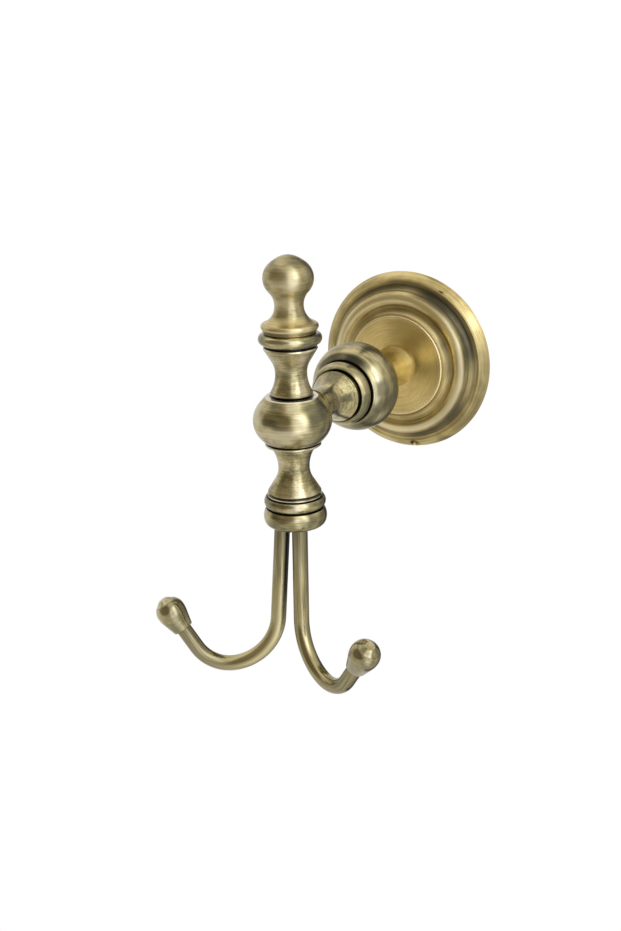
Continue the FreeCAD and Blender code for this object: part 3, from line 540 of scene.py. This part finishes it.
def bands(tree, distance, places):
    """The greatest of several soft bands, each (middle, half width, strength), in millimetres."""
    found = []
    for middle, half_width, *strength in places:
        band = use_group(tree, band_group, distance, Middle=middle * MM, Half_Width=half_width * MM)[0]
        found.append(maths(tree, "MULTIPLY", band, strength[0]) if strength else band)
    return greatest(tree, found)


def spots(tree, place, marks):
    """The greatest of several round marks, each ((x, y, z), radius, strength), in millimetres."""
    found = []
    for centre, radius, strength in marks:
        offset = vector_maths(tree, "DISTANCE", place, Vector(centre) * MM)
        spot = use_group(tree, band_group, offset, Middle=0.0, Half_Width=radius * MM)[0]
        found.append(maths(tree, "MULTIPLY", spot, strength))
    return greatest(tree, found)


def one_sided(tree, band, outward, towards, cosines):
    """A band that is kept only where the way out from the axis is close to a given way."""
    closeness = vector_maths(tree, "DOT_PRODUCT", outward, Vector(towards).normalized())
    return maths(tree, "MULTIPLY", band, smooth_step(tree, closeness, *cosines))


# %% Turned brass
LINE_STREAKS = 1.4
STROKE_STREAKS = 2.0
STROKES_PER_LINE = 2.4
STROKE_SEED = 40.0
CLOUD_SEED = 7.0
CLOUD_SIZE = 8.0 * MM
WORN_AND_SHEEN_SHARE = 0.75
SHADE_AND_PATINA_ROUGHNESS = 0.25
GRIME_AND_SHADE_ROUGHNESS = 0.35

COLUMN_LOOK = dict(
    dark=OLIVE_BRASS, middle=GOLDEN_BRASS, light=BRIGHT_BRASS, worn_and_sheen=WORN_AND_SHEEN_LIGHT, roughness=0.30,
    lined=0.5, coat=0.3,
)
SOFT_LOOK = dict(
    COLUMN_LOOK, dark=SOFT_DEEP, middle=SOFT_GOLD, light=SOFT_LIGHT, roughness=0.41, lined=0.4,
    coat=0.2,
)
BODY_LOOK = dict(COLUMN_LOOK, roughness=0.28, lined=0.35, coat=0.4)
BALL_LOOK = dict(BODY_LOOK, roughness=0.25, lined=0.55, coat=0.12)
BEAD_LOOK = dict(COLUMN_LOOK, roughness=0.25, coat=0.4)
CRISP_LOOK = dict(COLUMN_LOOK, dark=SOFT_DEEP, roughness=0.21, coat=0.8)
SPOOL_LOOK = dict(COLUMN_LOOK, dark=SPOOL_DEEP, middle=SPOOL_GOLD, roughness=0.22, lined=0.7, coat=0.6)
ROSE_LOOK = dict(
    dark=ROSE_DEEP, middle=ROSE_GOLD, light=ROSE_BRIGHT, worn_and_sheen=ROSE_WORN_AND_SHEEN, roughness=0.35, lined=0.65,
    coat=0.1,
)
NECK_LOOK = dict(
    COLUMN_LOOK, dark=GOLDEN_BRASS, middle=NECK_GOLD, light=NECK_BRIGHT, roughness=0.21, lined=0.45,
    coat=0.5,
)


def turned_brass(
    name, foot, turn, seed, look=COLUMN_LOOK, tilt=3.0, line=0.34, bump=0.010, even=0.7,
    grooves=(), rings=(), worn_and_sheen=(), worn_and_sheen_rings=(), gilded=(), gilded_rings=(), shaded_rings=(),
    shade_and_patina=(), marks=(),
):
    """Brushed antique brass for a piece that is turned about an axis through foot.

    Grooves, painted with shade and some dirt, and places of wear or painted highlight, or gilded
    places, are bands of height along the axis, and rings of any kind are bands of radius. A place of
    painted shade and dark reflection, with some patina, is a band of either kind on one side only, for
    an axis along Y or Z. Marks are small nicks, and painted shade in the mouth of a hole. The lines
    break up the tints, and the nearer even is to 1, the less they do.
    """
    paint, tree, shader = brass_tree(name, look["coat"])
    place, centred = seen_from_axis(tree, foot, turn)
    tilted = add_node(tree, "ShaderNodeMapping", vector_type="POINT")
    tilted.inputs["Rotation"].default_value = (math.radians(tilt), math.radians(-tilt / 2), 0.0)
    tree.links.new(centred, tilted.inputs["Vector"])
    height, radius = use_group(tree, place_group, centred)
    axis = Euler(turn).to_matrix() @ Vector((0.0, 0.0, 1.0))
    away_from_axis = vector_maths(tree, "SUBTRACT", place, foot)

    lines = use_group(
        tree, brush_group, centred, Line_Width=line * MM, Streaks=LINE_STREAKS, Seed=seed
    )[0]
    strokes = use_group(
        tree, brush_group, tilted.outputs[0], Line_Width=line * STROKES_PER_LINE * MM,
        Streaks=STROKE_STREAKS, Seed=seed + STROKE_SEED,
    )[0]
    clouds = use_group(tree, patina_group, centred, Cloud_Size=CLOUD_SIZE, Seed=seed + CLOUD_SEED)[0]
    colour, roughness = finish_brass(tree, shader, lines, strokes, clouds, look, bump)
    patchy = add_share(tree, even, lines, 1.0 - even)
    tints = (
        (GILDED, bands(tree, height, gilded)), (GILDED, bands(tree, radius, gilded_rings)),
        (DEEP_PATINA_AND_SHADE, bands(tree, radius, shaded_rings)),
    )
    for tint, shade in tints:
        if shade is not None:
            colour = blend_colour(tree, maths(tree, "MULTIPLY", shade, patchy), colour, tint)
    # Painted shade and dark reflections on one side of the piece, with some patina.
    if shade_and_patina:
        not_along = [1.0 - abs(round(part)) for part in axis]
        across = vector_maths(tree, "MULTIPLY", away_from_axis, not_along)
        outward = vector_maths(tree, "NORMALIZE", across)
    for distance, band, towards, cosines in shade_and_patina:
        whole = bands(tree, {"height": height, "radius": radius}[distance], [band])
        part = maths(tree, "MULTIPLY", one_sided(tree, whole, outward, towards, cosines), patchy)
        colour = blend_colour(tree, part, colour, SHADE_AND_PATINA_DARK)
        roughness = add_share(tree, roughness, part, SHADE_AND_PATINA_ROUGHNESS)
    # Bands of wear, which also paint highlights and glints.
    for light in (bands(tree, height, worn_and_sheen), bands(tree, radius, worn_and_sheen_rings)):
        if light is not None:
            colour = blend_colour(tree, maths(tree, "MULTIPLY", light, WORN_AND_SHEEN_SHARE), colour, look["worn_and_sheen"])
    # Painted shade in grooves, joints and the hole, with some dirt.
    for grime_and_groove_shade in (bands(tree, height, grooves), bands(tree, radius, rings), spots(tree, place, marks)):
        if grime_and_groove_shade is not None:
            colour = blend_colour(tree, grime_and_groove_shade, colour, GROOVE_DARK)
            roughness = add_share(tree, roughness, grime_and_groove_shade, GRIME_AND_SHADE_ROUGHNESS)
    tree.links.new(colour, shader.inputs["Base Color"])
    tree.links.new(roughness, shader.inputs["Roughness"])
    tree.links.new(vector_maths(tree, "CROSS_PRODUCT", axis, away_from_axis), shader.inputs["Tangent"])
    return paint


# %% [markdown]
# ## Finish of each turned piece
#
# Every piece gets a material of its own, with its own seed, so that no two have the same clouds, and
# with its own grooves. Along the arm the heights count from the wall, and in the column from the
# arm's axis, so a groove's height is read straight from the drawing. A place of painted shade and
# patina says which band it is in, which way it faces, and between which two cosines of that way it
# fades in. It paints shade and dark reflections on one side of a piece, with some patina, and the
# bands of wear also paint highlights and glints.

# %% Materials of the turned pieces
ON_ARM = dict(foot=ARM_FOOT, turn=OUT_FROM_WALL)
ON_COLUMN = dict(foot=COLUMN_FOOT, turn=UPRIGHT)
TURNED = {
    "wall_rose": dict(
        ON_ARM, seed=1.0, look=ROSE_LOOK, tilt=1.0, even=0.6, bump=0.013,
        shaded_rings=[
            (17.0, 1.3, 0.45), (22.3, 0.3, 0.6), (23.3, 0.8, 0.8), (24.1, 0.6, 0.2), (22.0, 6.4, 0.28),
        ],
        # Painted highlights on the disc's lip and on the crest of the torus.
        worn_and_sheen_rings=[(15.0, 0.6, 0.65), (20.3, 1.0, 0.9)],
        gilded_rings=[(7.0, 8.0, 0.9)],
        # Painted shade and dark reflections on the coves, the torus, the rim and the disc.
        shade_and_patina=[
            ("radius", (22.9, 1.4, 1.0), (0.77, 0.0, 0.64), (0.68, 0.92)),
            ("radius", (24.4, 1.0, 0.5), (0.5, 0.0, 0.87), (0.6, 0.9)),
            ("radius", (22.9, 0.9, 0.75), (0.6, 0.0, -0.8), (0.78, 0.95)),
            ("radius", (26.4, 1.4, 0.55), (0.96, 0.0, -0.28), (0.75, 0.95)),
            ("radius", (21.2, 1.0, 0.75), (0.94, 0.0, -0.34), (0.7, 0.93)),
            ("radius", (10.5, 3.6, 0.3), (0.42, 0.0, 0.91), (0.7, 0.98)),
            ("radius", (23.5, 1.2, 0.45), (-0.26, 0.0, 0.97), (0.85, 0.98)),
            ("radius", (17.3, 1.1, 0.2), (-0.26, 0.0, 0.97), (0.85, 0.98)),
            ("radius", (17.4, 1.4, 0.3), (0.5, 0.0, 0.87), (0.6, 0.9)),
            ("radius", (16.5, 0.8, 0.6), (0.98, 0.0, 0.2), (0.9, 0.985)),
        ],
        # Three nicks in the bead, then painted shade in the mouth of the grub screw's hole.
        marks=[
            ((12.0, -2.35, 22.6), 0.32, 0.5), ((12.5, -2.3, 22.35), 0.34, 0.8),
            ((13.0, -2.2, 22.15), 0.3, 0.6), ((3.6, -1.35, -25.6), 1.45, 1.0),
        ],
    ),
    "arm_neck": dict(ON_ARM, seed=2.0, look=NECK_LOOK, grooves=[(25.1, 0.2)]),
    "arm_ball": dict(
        ON_ARM, seed=3.0, look=BALL_LOOK, grooves=[(41.3, 0.14), (25.2, 0.2)],
        # Painted shade and dark reflections beside the ring and below the highlight.
        shade_and_patina=[
            ("height", (34.0, 4.5, 0.3), (0.90, 0.0, -0.44), (0.8, 0.97)),
            ("height", (40.7, 0.8, 0.8), (0.32, 0.0, 0.95), (0.93, 0.99)),
            ("height", (40.5, 1.0, 0.8), (-0.1, 0.0, 1.0), (0.45, 0.95)),
            ("height", (39.0, 1.6, 0.75), (0.985, 0.0, 0.14), (0.96, 0.995)),
            ("height", (38.8, 1.6, 0.5), (0.95, 0.0, -0.30), (0.96, 0.995)),
            ("height", (39.8, 1.2, 0.6), (0.70, 0.0, -0.70), (0.8, 0.97)),
        ],
    ),
    "arm_ring": dict(ON_ARM, seed=4.0, grooves=[(41.45, 0.28)], rings=[(7.05, 0.45)]),
    "arm_spool": dict(
        ON_ARM, seed=5.0, look=SPOOL_LOOK, tilt=8.0, bump=0.005, grooves=[(45.6, 0.18)],
        # Painted shade on the top and the right side of the spool.
        shade_and_patina=[
            ("height", (48.4, 2.4, 0.7), (0.05, 0.0, 1.0), (0.85, 0.99)),
            ("height", (49.6, 1.6, 0.8), (0.98, 0.0, 0.18), (0.97, 0.995)),
        ],
    ),
    "body_ball": dict(
        ON_COLUMN, seed=6.0, look=BODY_LOOK, rings=[(5.0, 0.9)], worn_and_sheen=[(6.2, 0.15)],
        grooves=[(-6.4, 0.08)],
        # Painted dark reflection on the front of the ball.
        shade_and_patina=[
            ("height", (1.4, 0.9, 0.7), (-0.10, -0.99, 0.0), (0.945, 0.99)),
            ("height", (0.2, 0.6, 0.5), (0.22, -0.97, 0.0), (0.96, 0.995)),
        ],
    ),
    "body_disc": dict(
        ON_COLUMN, seed=7.0, look=BEAD_LOOK, grooves=[(-6.4, 0.08)], worn_and_sheen=[(-6.8, 0.3, 0.6)],
    ),
    # The light band just below the upper spool's top edge is a painted glint.
    "upper_spool": dict(
        ON_COLUMN, seed=8.0, tilt=5.0, grooves=[(6.5, 0.45), (19.6, 0.12)], worn_and_sheen=[(19.3, 0.15, 0.7)],
    ),
    "upper_bead": dict(ON_COLUMN, seed=9.0, look=BEAD_LOOK, grooves=[(19.85, 0.36)]),
    "finial": dict(
        ON_COLUMN, seed=10.0, look=SOFT_LOOK, grooves=[(23.2, 0.15)], worn_and_sheen=[(24.55, 0.2, 0.5)],
        gilded=[(26.1, 1.3, 0.45)],
    ),
    "lower_spool": dict(ON_COLUMN, seed=11.0, tilt=20.0, grooves=[(-7.15, 0.1, 0.5), (-20.4, 0.3)]),
    # The spacer ring's light band is a painted highlight.
    "spacer_ring": dict(
        ON_COLUMN, seed=12.0, look=BEAD_LOOK, grooves=[(-20.45, 0.2), (-21.25, 0.18)],
        worn_and_sheen=[(-20.88, 0.2, 0.7)],
    ),
    "lower_bead": dict(
        ON_COLUMN, seed=13.0, look=BEAD_LOOK, tilt=12.0, grooves=[(-24.4, 0.3), (-21.3, 0.12)],
    ),
    "rod_holder": dict(ON_COLUMN, seed=14.0, look=BEAD_LOOK, grooves=[(-24.5, 0.15)]),
}

for name, facts in TURNED.items():
    dress(nodes[name], turned_brass(name + "_brass", **facts))
print("turned pieces with their own brass:", len(TURNED))

# %% [markdown]
# ## The bent hooks
#
# Each hook is a round bar, bent twice in one plane: a wide bend, then a tighter one. A bar is bent
# from a straight one, so the model is made in the same way: a circle is extruded down the leg, spun
# round the wide bend's centre, spun round the tight bend's centre and extruded along the tail. The
# bar is modelled upright at the origin and then set into the holder, leaning out and forwards.

# %% Sizes of the bent hooks
BAR_RADIUS = 2.12 * MM
BAR_IN_HOLDER = 3.6 * MM
BAR_IN_KNOB = 4.0 * MM
HOLDER_FOOT_HEIGHT = -29.6 * MM
SIDE_OFFSET = 2.7 * MM
FRONT_OFFSET = 2.57 * MM
SPLAY = math.radians(63.3)
OUTWARD_LEAN = math.radians(2.3)
FORWARD_LEAN = math.radians(3.7)
AROUND_BAR = 48
LEG_STEPS = 24
BEND_STEPS = 40
TAIL_STEPS = 8
HOOKS = {
    "left": dict(
        sign=-1, leg=26.35 * MM, wide=15.1 * MM, wide_turn=math.radians(73.8),
        tight=10.6 * MM, tight_turn=math.radians(69.8), tail=6.6 * MM,
    ),
    "right": dict(
        sign=1, leg=25.75 * MM, wide=14.7 * MM, wide_turn=math.radians(72.5),
        tight=10.25 * MM, tight_turn=math.radians(68.5), tail=6.3 * MM,
    ),
}


def hook_place(side):
    """Where a hook's own frame stands in the holder's foot."""
    sign = HOOKS[side]["sign"]
    spot = Vector((sign * SIDE_OFFSET, COLUMN_FOOT.y - FRONT_OFFSET, HOLDER_FOOT_HEIGHT))
    lean = Matrix.Rotation(-FORWARD_LEAN, 4, "X")
    splay = Matrix.Rotation(sign * SPLAY - math.radians(90), 4, "Z")
    return Matrix.Translation(spot) @ lean @ splay @ Matrix.Rotation(-OUTWARD_LEAN, 4, "Y")


def inwards_at(angle):
    """The way from a bend's middle line to its centre, after that much of a turn."""
    return Vector((math.cos(angle), 0.0, math.sin(angle)))


def onwards_at(angle):
    """The way along the bar after that much of a turn."""
    return Vector((math.sin(angle), 0.0, -math.cos(angle)))


def bend_centres(hook):
    """Centres of the wide and the tight bend, in the hook's own X and Z."""
    wide_centre = Vector((hook["wide"], 0.0, -hook["leg"]))
    step = hook["wide"] - hook["tight"]
    return wide_centre, wide_centre - inwards_at(hook["wide_turn"]) * step


def tail_line(hook):
    """Where the straight tail starts and which way it goes."""
    total = hook["wide_turn"] + hook["tight_turn"]
    start = bend_centres(hook)[1] - inwards_at(total) * hook["tight"]
    return start, onwards_at(total)


print("the left hook's tail starts at", [round(v, 4) for v in tail_line(HOOKS["left"])[0]])


# %% Model a bent hook
def deselect_all():
    """Nothing stays selected, so that the next operator reaches one object only."""
    if bpy.context.object and bpy.context.object.mode != "OBJECT":
        bpy.ops.object.mode_set(mode="OBJECT")
    bpy.ops.object.select_all(action="DESELECT")


def extrude_in_steps(path, steps):
    """Extrude the selected ring along a straight path."""
    for step in range(steps):
        bpy.ops.mesh.extrude_region_move(TRANSFORM_OT_translate={"value": path / steps})


def bent_bar(side):
    """One bar, modelled upright at the origin: leg, wide bend, tight bend and tail."""
    hook = HOOKS[side]
    wide_centre, tight_centre = bend_centres(hook)
    tail_way = tail_line(hook)[1]
    deselect_all()
    bpy.ops.mesh.primitive_circle_add(
        vertices=AROUND_BAR, radius=BAR_RADIUS, fill_type="NOTHING", location=(0.0, 0.0, BAR_IN_HOLDER)
    )
    bar = bpy.context.object
    bar.name = side + "_hook_bar"
    bpy.ops.object.transform_apply(location=True)
    bpy.ops.object.mode_set(mode="EDIT")
    bpy.ops.mesh.select_all(action="SELECT")
    extrude_in_steps(Vector((0.0, 0.0, -(hook["leg"] + BAR_IN_HOLDER))), LEG_STEPS)
    for turn, centre in ((hook["wide_turn"], wide_centre), (hook["tight_turn"], tight_centre)):
        bpy.ops.mesh.spin(steps=BEND_STEPS, angle=turn, center=centre, axis=(0.0, 1.0, 0.0))
    extrude_in_steps(tail_way * (hook["tail"] + BAR_IN_KNOB), TAIL_STEPS)
    bpy.ops.mesh.fill()
    bpy.ops.object.mode_set(mode="OBJECT")
    return bar


# %% [markdown]
# ## What a bar remembers
#
# The drawn lines belong to the straight bar, so every point of the bent mesh keeps three vectors as
# attributes: its place in the straight bar, the way it faces, and the way the bar runs there. The
# place is found from the angle about the nearest bend's centre, or along the leg or the tail.


# %% Places in the straight bar
def place_on_bar(hook, point):
    """The bar's middle and its way beside a point, and the point's place in the straight bar."""
    wide_centre, tight_centre = bend_centres(hook)
    first = hook["wide_turn"]
    total = first + hook["tight_turn"]
    wide_angle = math.atan2(wide_centre.z - point.z, wide_centre.x - point.x)
    if -math.pi / 2 < wide_angle < 0:
        return Vector((0.0, 0.0, point.z)), Vector((0.0, 0.0, -1.0)), -point.z
    tight_angle = math.atan2(tight_centre.z - point.z, tight_centre.x - point.x) % (2 * math.pi)
    if 0 <= wide_angle <= first:
        centre, radius, angle = wide_centre, hook["wide"], wide_angle
        travelled = hook["leg"] + radius * angle
    elif tight_angle <= total:
        centre, radius, angle = tight_centre, hook["tight"], tight_angle
        travelled = hook["leg"] + hook["wide"] * first + radius * (angle - first)
    else:
        tail_start, tail_way = tail_line(hook)
        past = (point - tail_start).dot(tail_way)
        bends = hook["wide"] * first + hook["tight"] * hook["tight_turn"]
        return tail_start + tail_way * past, tail_way, hook["leg"] + bends + past
    return centre - inwards_at(angle) * radius, onwards_at(angle), travelled


def remember_straight_bar(bar, side):
    """Keep on each point its place in the straight bar, the way it faces and the bar's way."""
    hook = HOOKS[side]
    turn = hook_place(side).to_3x3()
    straight = bar.data.attributes.new("straight_place", "FLOAT_VECTOR", "POINT")
    facing = bar.data.attributes.new("bar_facing", "FLOAT_VECTOR", "POINT")
    way = bar.data.attributes.new("bar_way", "FLOAT_VECTOR", "POINT")
    for vertex in bar.data.vertices:
        middle, along, travelled = place_on_bar(hook, vertex.co)
        offset = vertex.co - middle
        inwards = Vector((0.0, 1.0, 0.0)).cross(along)
        straight.data[vertex.index].vector = (offset.dot(inwards), offset.y, travelled)
        facing.data[vertex.index].vector = turn @ offset.normalized()
        way.data[vertex.index].vector = turn @ along


# %% Set both bars in the holder
def in_millimetres(point):
    """A point's coordinates in millimetres, for printing."""
    return [round(v / MM, 2) for v in point]


bars = {}
for side in HOOKS:
    bar = bent_bar(side)
    remember_straight_bar(bar, side)
    bar.matrix_world = hook_place(side)
    deselect_all()
    bar.select_set(True)
    bpy.context.view_layer.objects.active = bar
    bpy.ops.object.transform_apply(location=True, rotation=True, scale=True)
    bpy.ops.object.mode_set(mode="EDIT")
    bpy.ops.mesh.select_all(action="SELECT")
    bpy.ops.mesh.normals_make_consistent(inside=False)
    bpy.ops.object.mode_set(mode="OBJECT")
    bpy.ops.object.shade_smooth()
    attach(bar, "root")
    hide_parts(side + "_hook_rod")
    bars[side] = bar
    low = [min(vertex.co[axis] for vertex in bar.data.vertices) for axis in range(3)]
    high = [max(vertex.co[axis] for vertex in bar.data.vertices) for axis in range(3)]
    print(side, "bar from", in_millimetres(low), "to", in_millimetres(high))

# %% [markdown]
# ## Drawn brass for the bars
#
# A bar is drawn through a die and brushed along its length, so its lines run lengthwise and follow
# both bends: the noise reads each point's place in the straight bar. The sides of the two legs that
# face each other are painted dark, as shade and a dark reflection between the legs. Under the holder
# the bar is painted in shade, and along the tail it is painted darker. The legs are duller than the
# bends, and light is painted onto the wide bend, above all the left one.

# %% Group of lengthwise lines
drawn_group, drawn_in, drawn_out = new_group(
    "drawn_lines",
    [("Vector", "vector", None), ("Line Width", "value", 0.2 * MM), ("Line Length", "value", 6.0 * MM),
     ("Seed", "value", 0.0)],
    [("Lines", "value")],
)
drawn_shares = []
for part, size in zip(
    separate(drawn_group, drawn_in.outputs["Vector"]), ("Line Width", "Line Width", "Line Length")
):
    drawn_shares.append(maths(drawn_group, "DIVIDE", part, drawn_in.outputs[size]))
drawn_place = combine(drawn_group, *drawn_shares)
drawn_seed = drawn_in.outputs["Seed"]
drawn_lines = noise(drawn_group, drawn_place, drawn_seed, detail=2.0, roughness=0.6, edges=LINE_EDGES)
drawn_group.links.new(drawn_lines, drawn_out.inputs["Lines"])
print("lengthwise lines use", len(drawn_group.nodes), "nodes")

# %% Drawn brass
BAR_LOOK = dict(COLUMN_LOOK, light=BAR_LIGHT, roughness=0.21, lined=0.6)
BAR_BUMP = 0.014
# Width and length in millimetres, and what is added to the seed, for lines, strokes and clouds.
DRAWN_LAYERS = ((0.35, 9.0, 0.0), (1.1, 16.0, 5.0), (2.2, 34.0, 9.0))
# Stretches of the straight bar in millimetres, counted from the holder's foot.
UNDER_HOLDER = (0.0, 17.0)
BEND_STARTS = (16.0, 30.0)
TAIL_STARTS = (40.0, 58.0)
INNER_SHADE = 0.93
HOLDER_SHADE = 0.6
DULL_LEG = 0.16


def attribute(tree, name):
    """A vector that the points of the mesh keep."""
    return add_node(tree, "ShaderNodeAttribute", attribute_name=name).outputs["Vector"]


def past_stretch(tree, travelled, stretch):
    """0 before a stretch of the bar and 1 after it, with a smooth rise along it."""
    start, end = stretch
    return smooth_step(tree, travelled, start * MM, end * MM)


def drawn_brass(name, seed, dark_side, cosines, taper, fading, dull_end, bend_light, tail_shade):
    """Brass of a bent bar. Its dark side faces +X (1) or -X (-1), and narrows and fades downwards.

    The dark side is painted shade. The legs are duller than the bends, light is painted onto the wide
    bend, and the tail is painted darker.
    """
    paint, tree, shader = brass_tree(name, BAR_LOOK["coat"])
    straight = attribute(tree, "straight_place")
    travelled = separate(tree, straight)[2]
    lines, strokes, clouds = (
        use_group(
            tree, drawn_group, straight, Line_Width=width * MM, Line_Length=length * MM, Seed=seed + more
        )[0]
        for width, length, more in DRAWN_LAYERS
    )
    colour, roughness = finish_brass(tree, shader, lines, strokes, clouds, BAR_LOOK, BAR_BUMP)
    sideways = separate(tree, attribute(tree, "bar_facing"))[0]
    towards = maths(tree, "MULTIPLY", sideways, dark_side)
    towards = maths(tree, "SUBTRACT", towards, maths(tree, "MULTIPLY", travelled, taper / MM))
    high_up = left_over(tree, past_stretch(tree, travelled, fading))
    inner_shade = maths(tree, "MULTIPLY", smooth_step(tree, towards, *cosines), high_up)
    tail = past_stretch(tree, travelled, TAIL_STARTS)
    past_leg = past_stretch(tree, travelled, BEND_STARTS)
    bend = maths(tree, "MULTIPLY", past_leg, left_over(tree, tail))
    # Painted shade between the legs and under the holder, painted light on the wide bend, and a darker
    # tail.
    tints = (
        (inner_shade, INNER_SHADE, GROOVE_DARK),
        (left_over(tree, past_stretch(tree, travelled, UNDER_HOLDER)), HOLDER_SHADE, DEEP_PATINA_AND_SHADE),
        (bend, bend_light, BAR_BEND_LIGHT),
        (tail, tail_shade, DEEP_PATINA_AND_SHADE),
    )
    for where, strength, tint in tints:
        colour = blend_colour(tree, maths(tree, "MULTIPLY", where, strength), colour, tint)
    on_leg = left_over(tree, past_stretch(tree, travelled, dull_end))
    tree.links.new(colour, shader.inputs["Base Color"])
    tree.links.new(add_share(tree, roughness, on_leg, DULL_LEG), shader.inputs["Roughness"])
    tree.links.new(attribute(tree, "bar_way"), shader.inputs["Tangent"])
    return paint


BAR_FACTS = {
    "left": dict(
        seed=31.0, dark_side=1.0, cosines=(0.79, 0.90), taper=0.0045, fading=(28.0, 48.0),
        dull_end=(32.0, 48.0), bend_light=0.6, tail_shade=0.45,
    ),
    "right": dict(
        seed=37.0, dark_side=-1.0, cosines=(0.46, 0.68), taper=0.0, fading=(40.0, 62.0),
        dull_end=(18.0, 32.0), bend_light=0.1, tail_shade=0.2,
    ),
}
for side, facts in BAR_FACTS.items():
    dress(bars[side], drawn_brass(side + "_bar_brass", **facts))
print("bars with drawn brass:", len(bars))

# %% [markdown]
# ## The knobs
#
# Each knob was turned on its own axis, which is the way of its bar's tail, so the same turned brass
# is used with its foot and turn taken from the hook's place.

# %% Finish of the knobs
KNOB_SEEDS = {"left": 15.0, "right": 16.0}

for side, hook in HOOKS.items():
    tail_start, tail_way = tail_line(hook)
    upright_turn = math.pi - hook["wide_turn"] - hook["tight_turn"]
    at_tail_end = Matrix.Translation(tail_start + tail_way * hook["tail"])
    seat = at_tail_end @ Matrix.Rotation(upright_turn, 4, "Y")
    stand = hook_place(side) @ seat
    dress(nodes[side + "_knob"], turned_brass(
        side + "_knob_brass", stand.translation, tuple(stand.to_euler()), KNOB_SEEDS[side],
        look=CRISP_LOOK, tilt=24.0, line=0.3, grooves=[(0.0, 0.12), (8.65, 0.12, 0.4)],
    ))
print("knobs with their own brass:", len(KNOB_SEEDS))

# %% [markdown]
# ## Steel inside
#
# The bracket, the studs, the washer and the nut are zinc-plated steel, and the grub screw is
# blackened. They show from behind only, but each has its own finish: faint rolled lines, a dull
# cloud of zinc, and a slightly rough black oxide.

# %% Steel finishes
STEEL_STREAKS = 2.0
STEEL_CLOUD_SIZE = 3.0 * MM
STEEL_LINE_SHARE = 0.4
STEEL_CLOUD_SHARE = 0.6
STEEL_UNEVENNESS = 0.12
STEEL_BUMP = 0.01 * MM
ZINC = dict(dark=(0.36, 0.37, 0.38, 1.0), light=(0.62, 0.63, 0.63, 1.0))
OXIDE = dict(dark=(0.020, 0.020, 0.022, 1.0), light=(0.075, 0.072, 0.070, 1.0))


def plain_steel(name, foot, turn, seed, dark, light, roughness, line):
    """Plated or blackened steel with faint lines round its axis."""
    paint, tree, shader = metal(name)
    centred = seen_from_axis(tree, foot, turn)[1]
    lines = use_group(
        tree, brush_group, centred, Line_Width=line * MM, Streaks=STEEL_STREAKS, Seed=seed
    )[0]
    clouds = use_group(tree, patina_group, centred, Cloud_Size=STEEL_CLOUD_SIZE, Seed=seed)[0]
    tone = add_share(tree, maths(tree, "MULTIPLY", lines, STEEL_LINE_SHARE), clouds, STEEL_CLOUD_SHARE)
    tree.links.new(blend_colour(tree, tone, dark, light), shader.inputs["Base Color"])
    tree.links.new(add_share(tree, roughness, tone, STEEL_UNEVENNESS), shader.inputs["Roughness"])
    add_relief(tree, shader, tone, STEEL_BUMP)
    return paint


STEEL = {
    "wall_bracket": dict(ON_ARM, **ZINC, seed=51.0, roughness=0.34, line=0.5),
    "arm_stud": dict(ON_ARM, **ZINC, seed=52.0, roughness=0.30, line=0.25),
    "arm_nut": dict(ON_ARM, **ZINC, seed=53.0, roughness=0.32, line=0.3),
    "arm_washer": dict(ON_ARM, **ZINC, seed=54.0, roughness=0.36, line=0.3),
    "column_stud": dict(ON_COLUMN, **ZINC, seed=55.0, roughness=0.30, line=0.25),
    "rose_grub_screw": dict(OXIDE, foot=ARM_FOOT, turn=UPRIGHT, seed=56.0, roughness=0.42, line=0.2),
}
for name, facts in STEEL.items():
    dress(nodes[name], plain_steel(name + "_steel", **facts))
print("steel pieces:", len(STEEL))
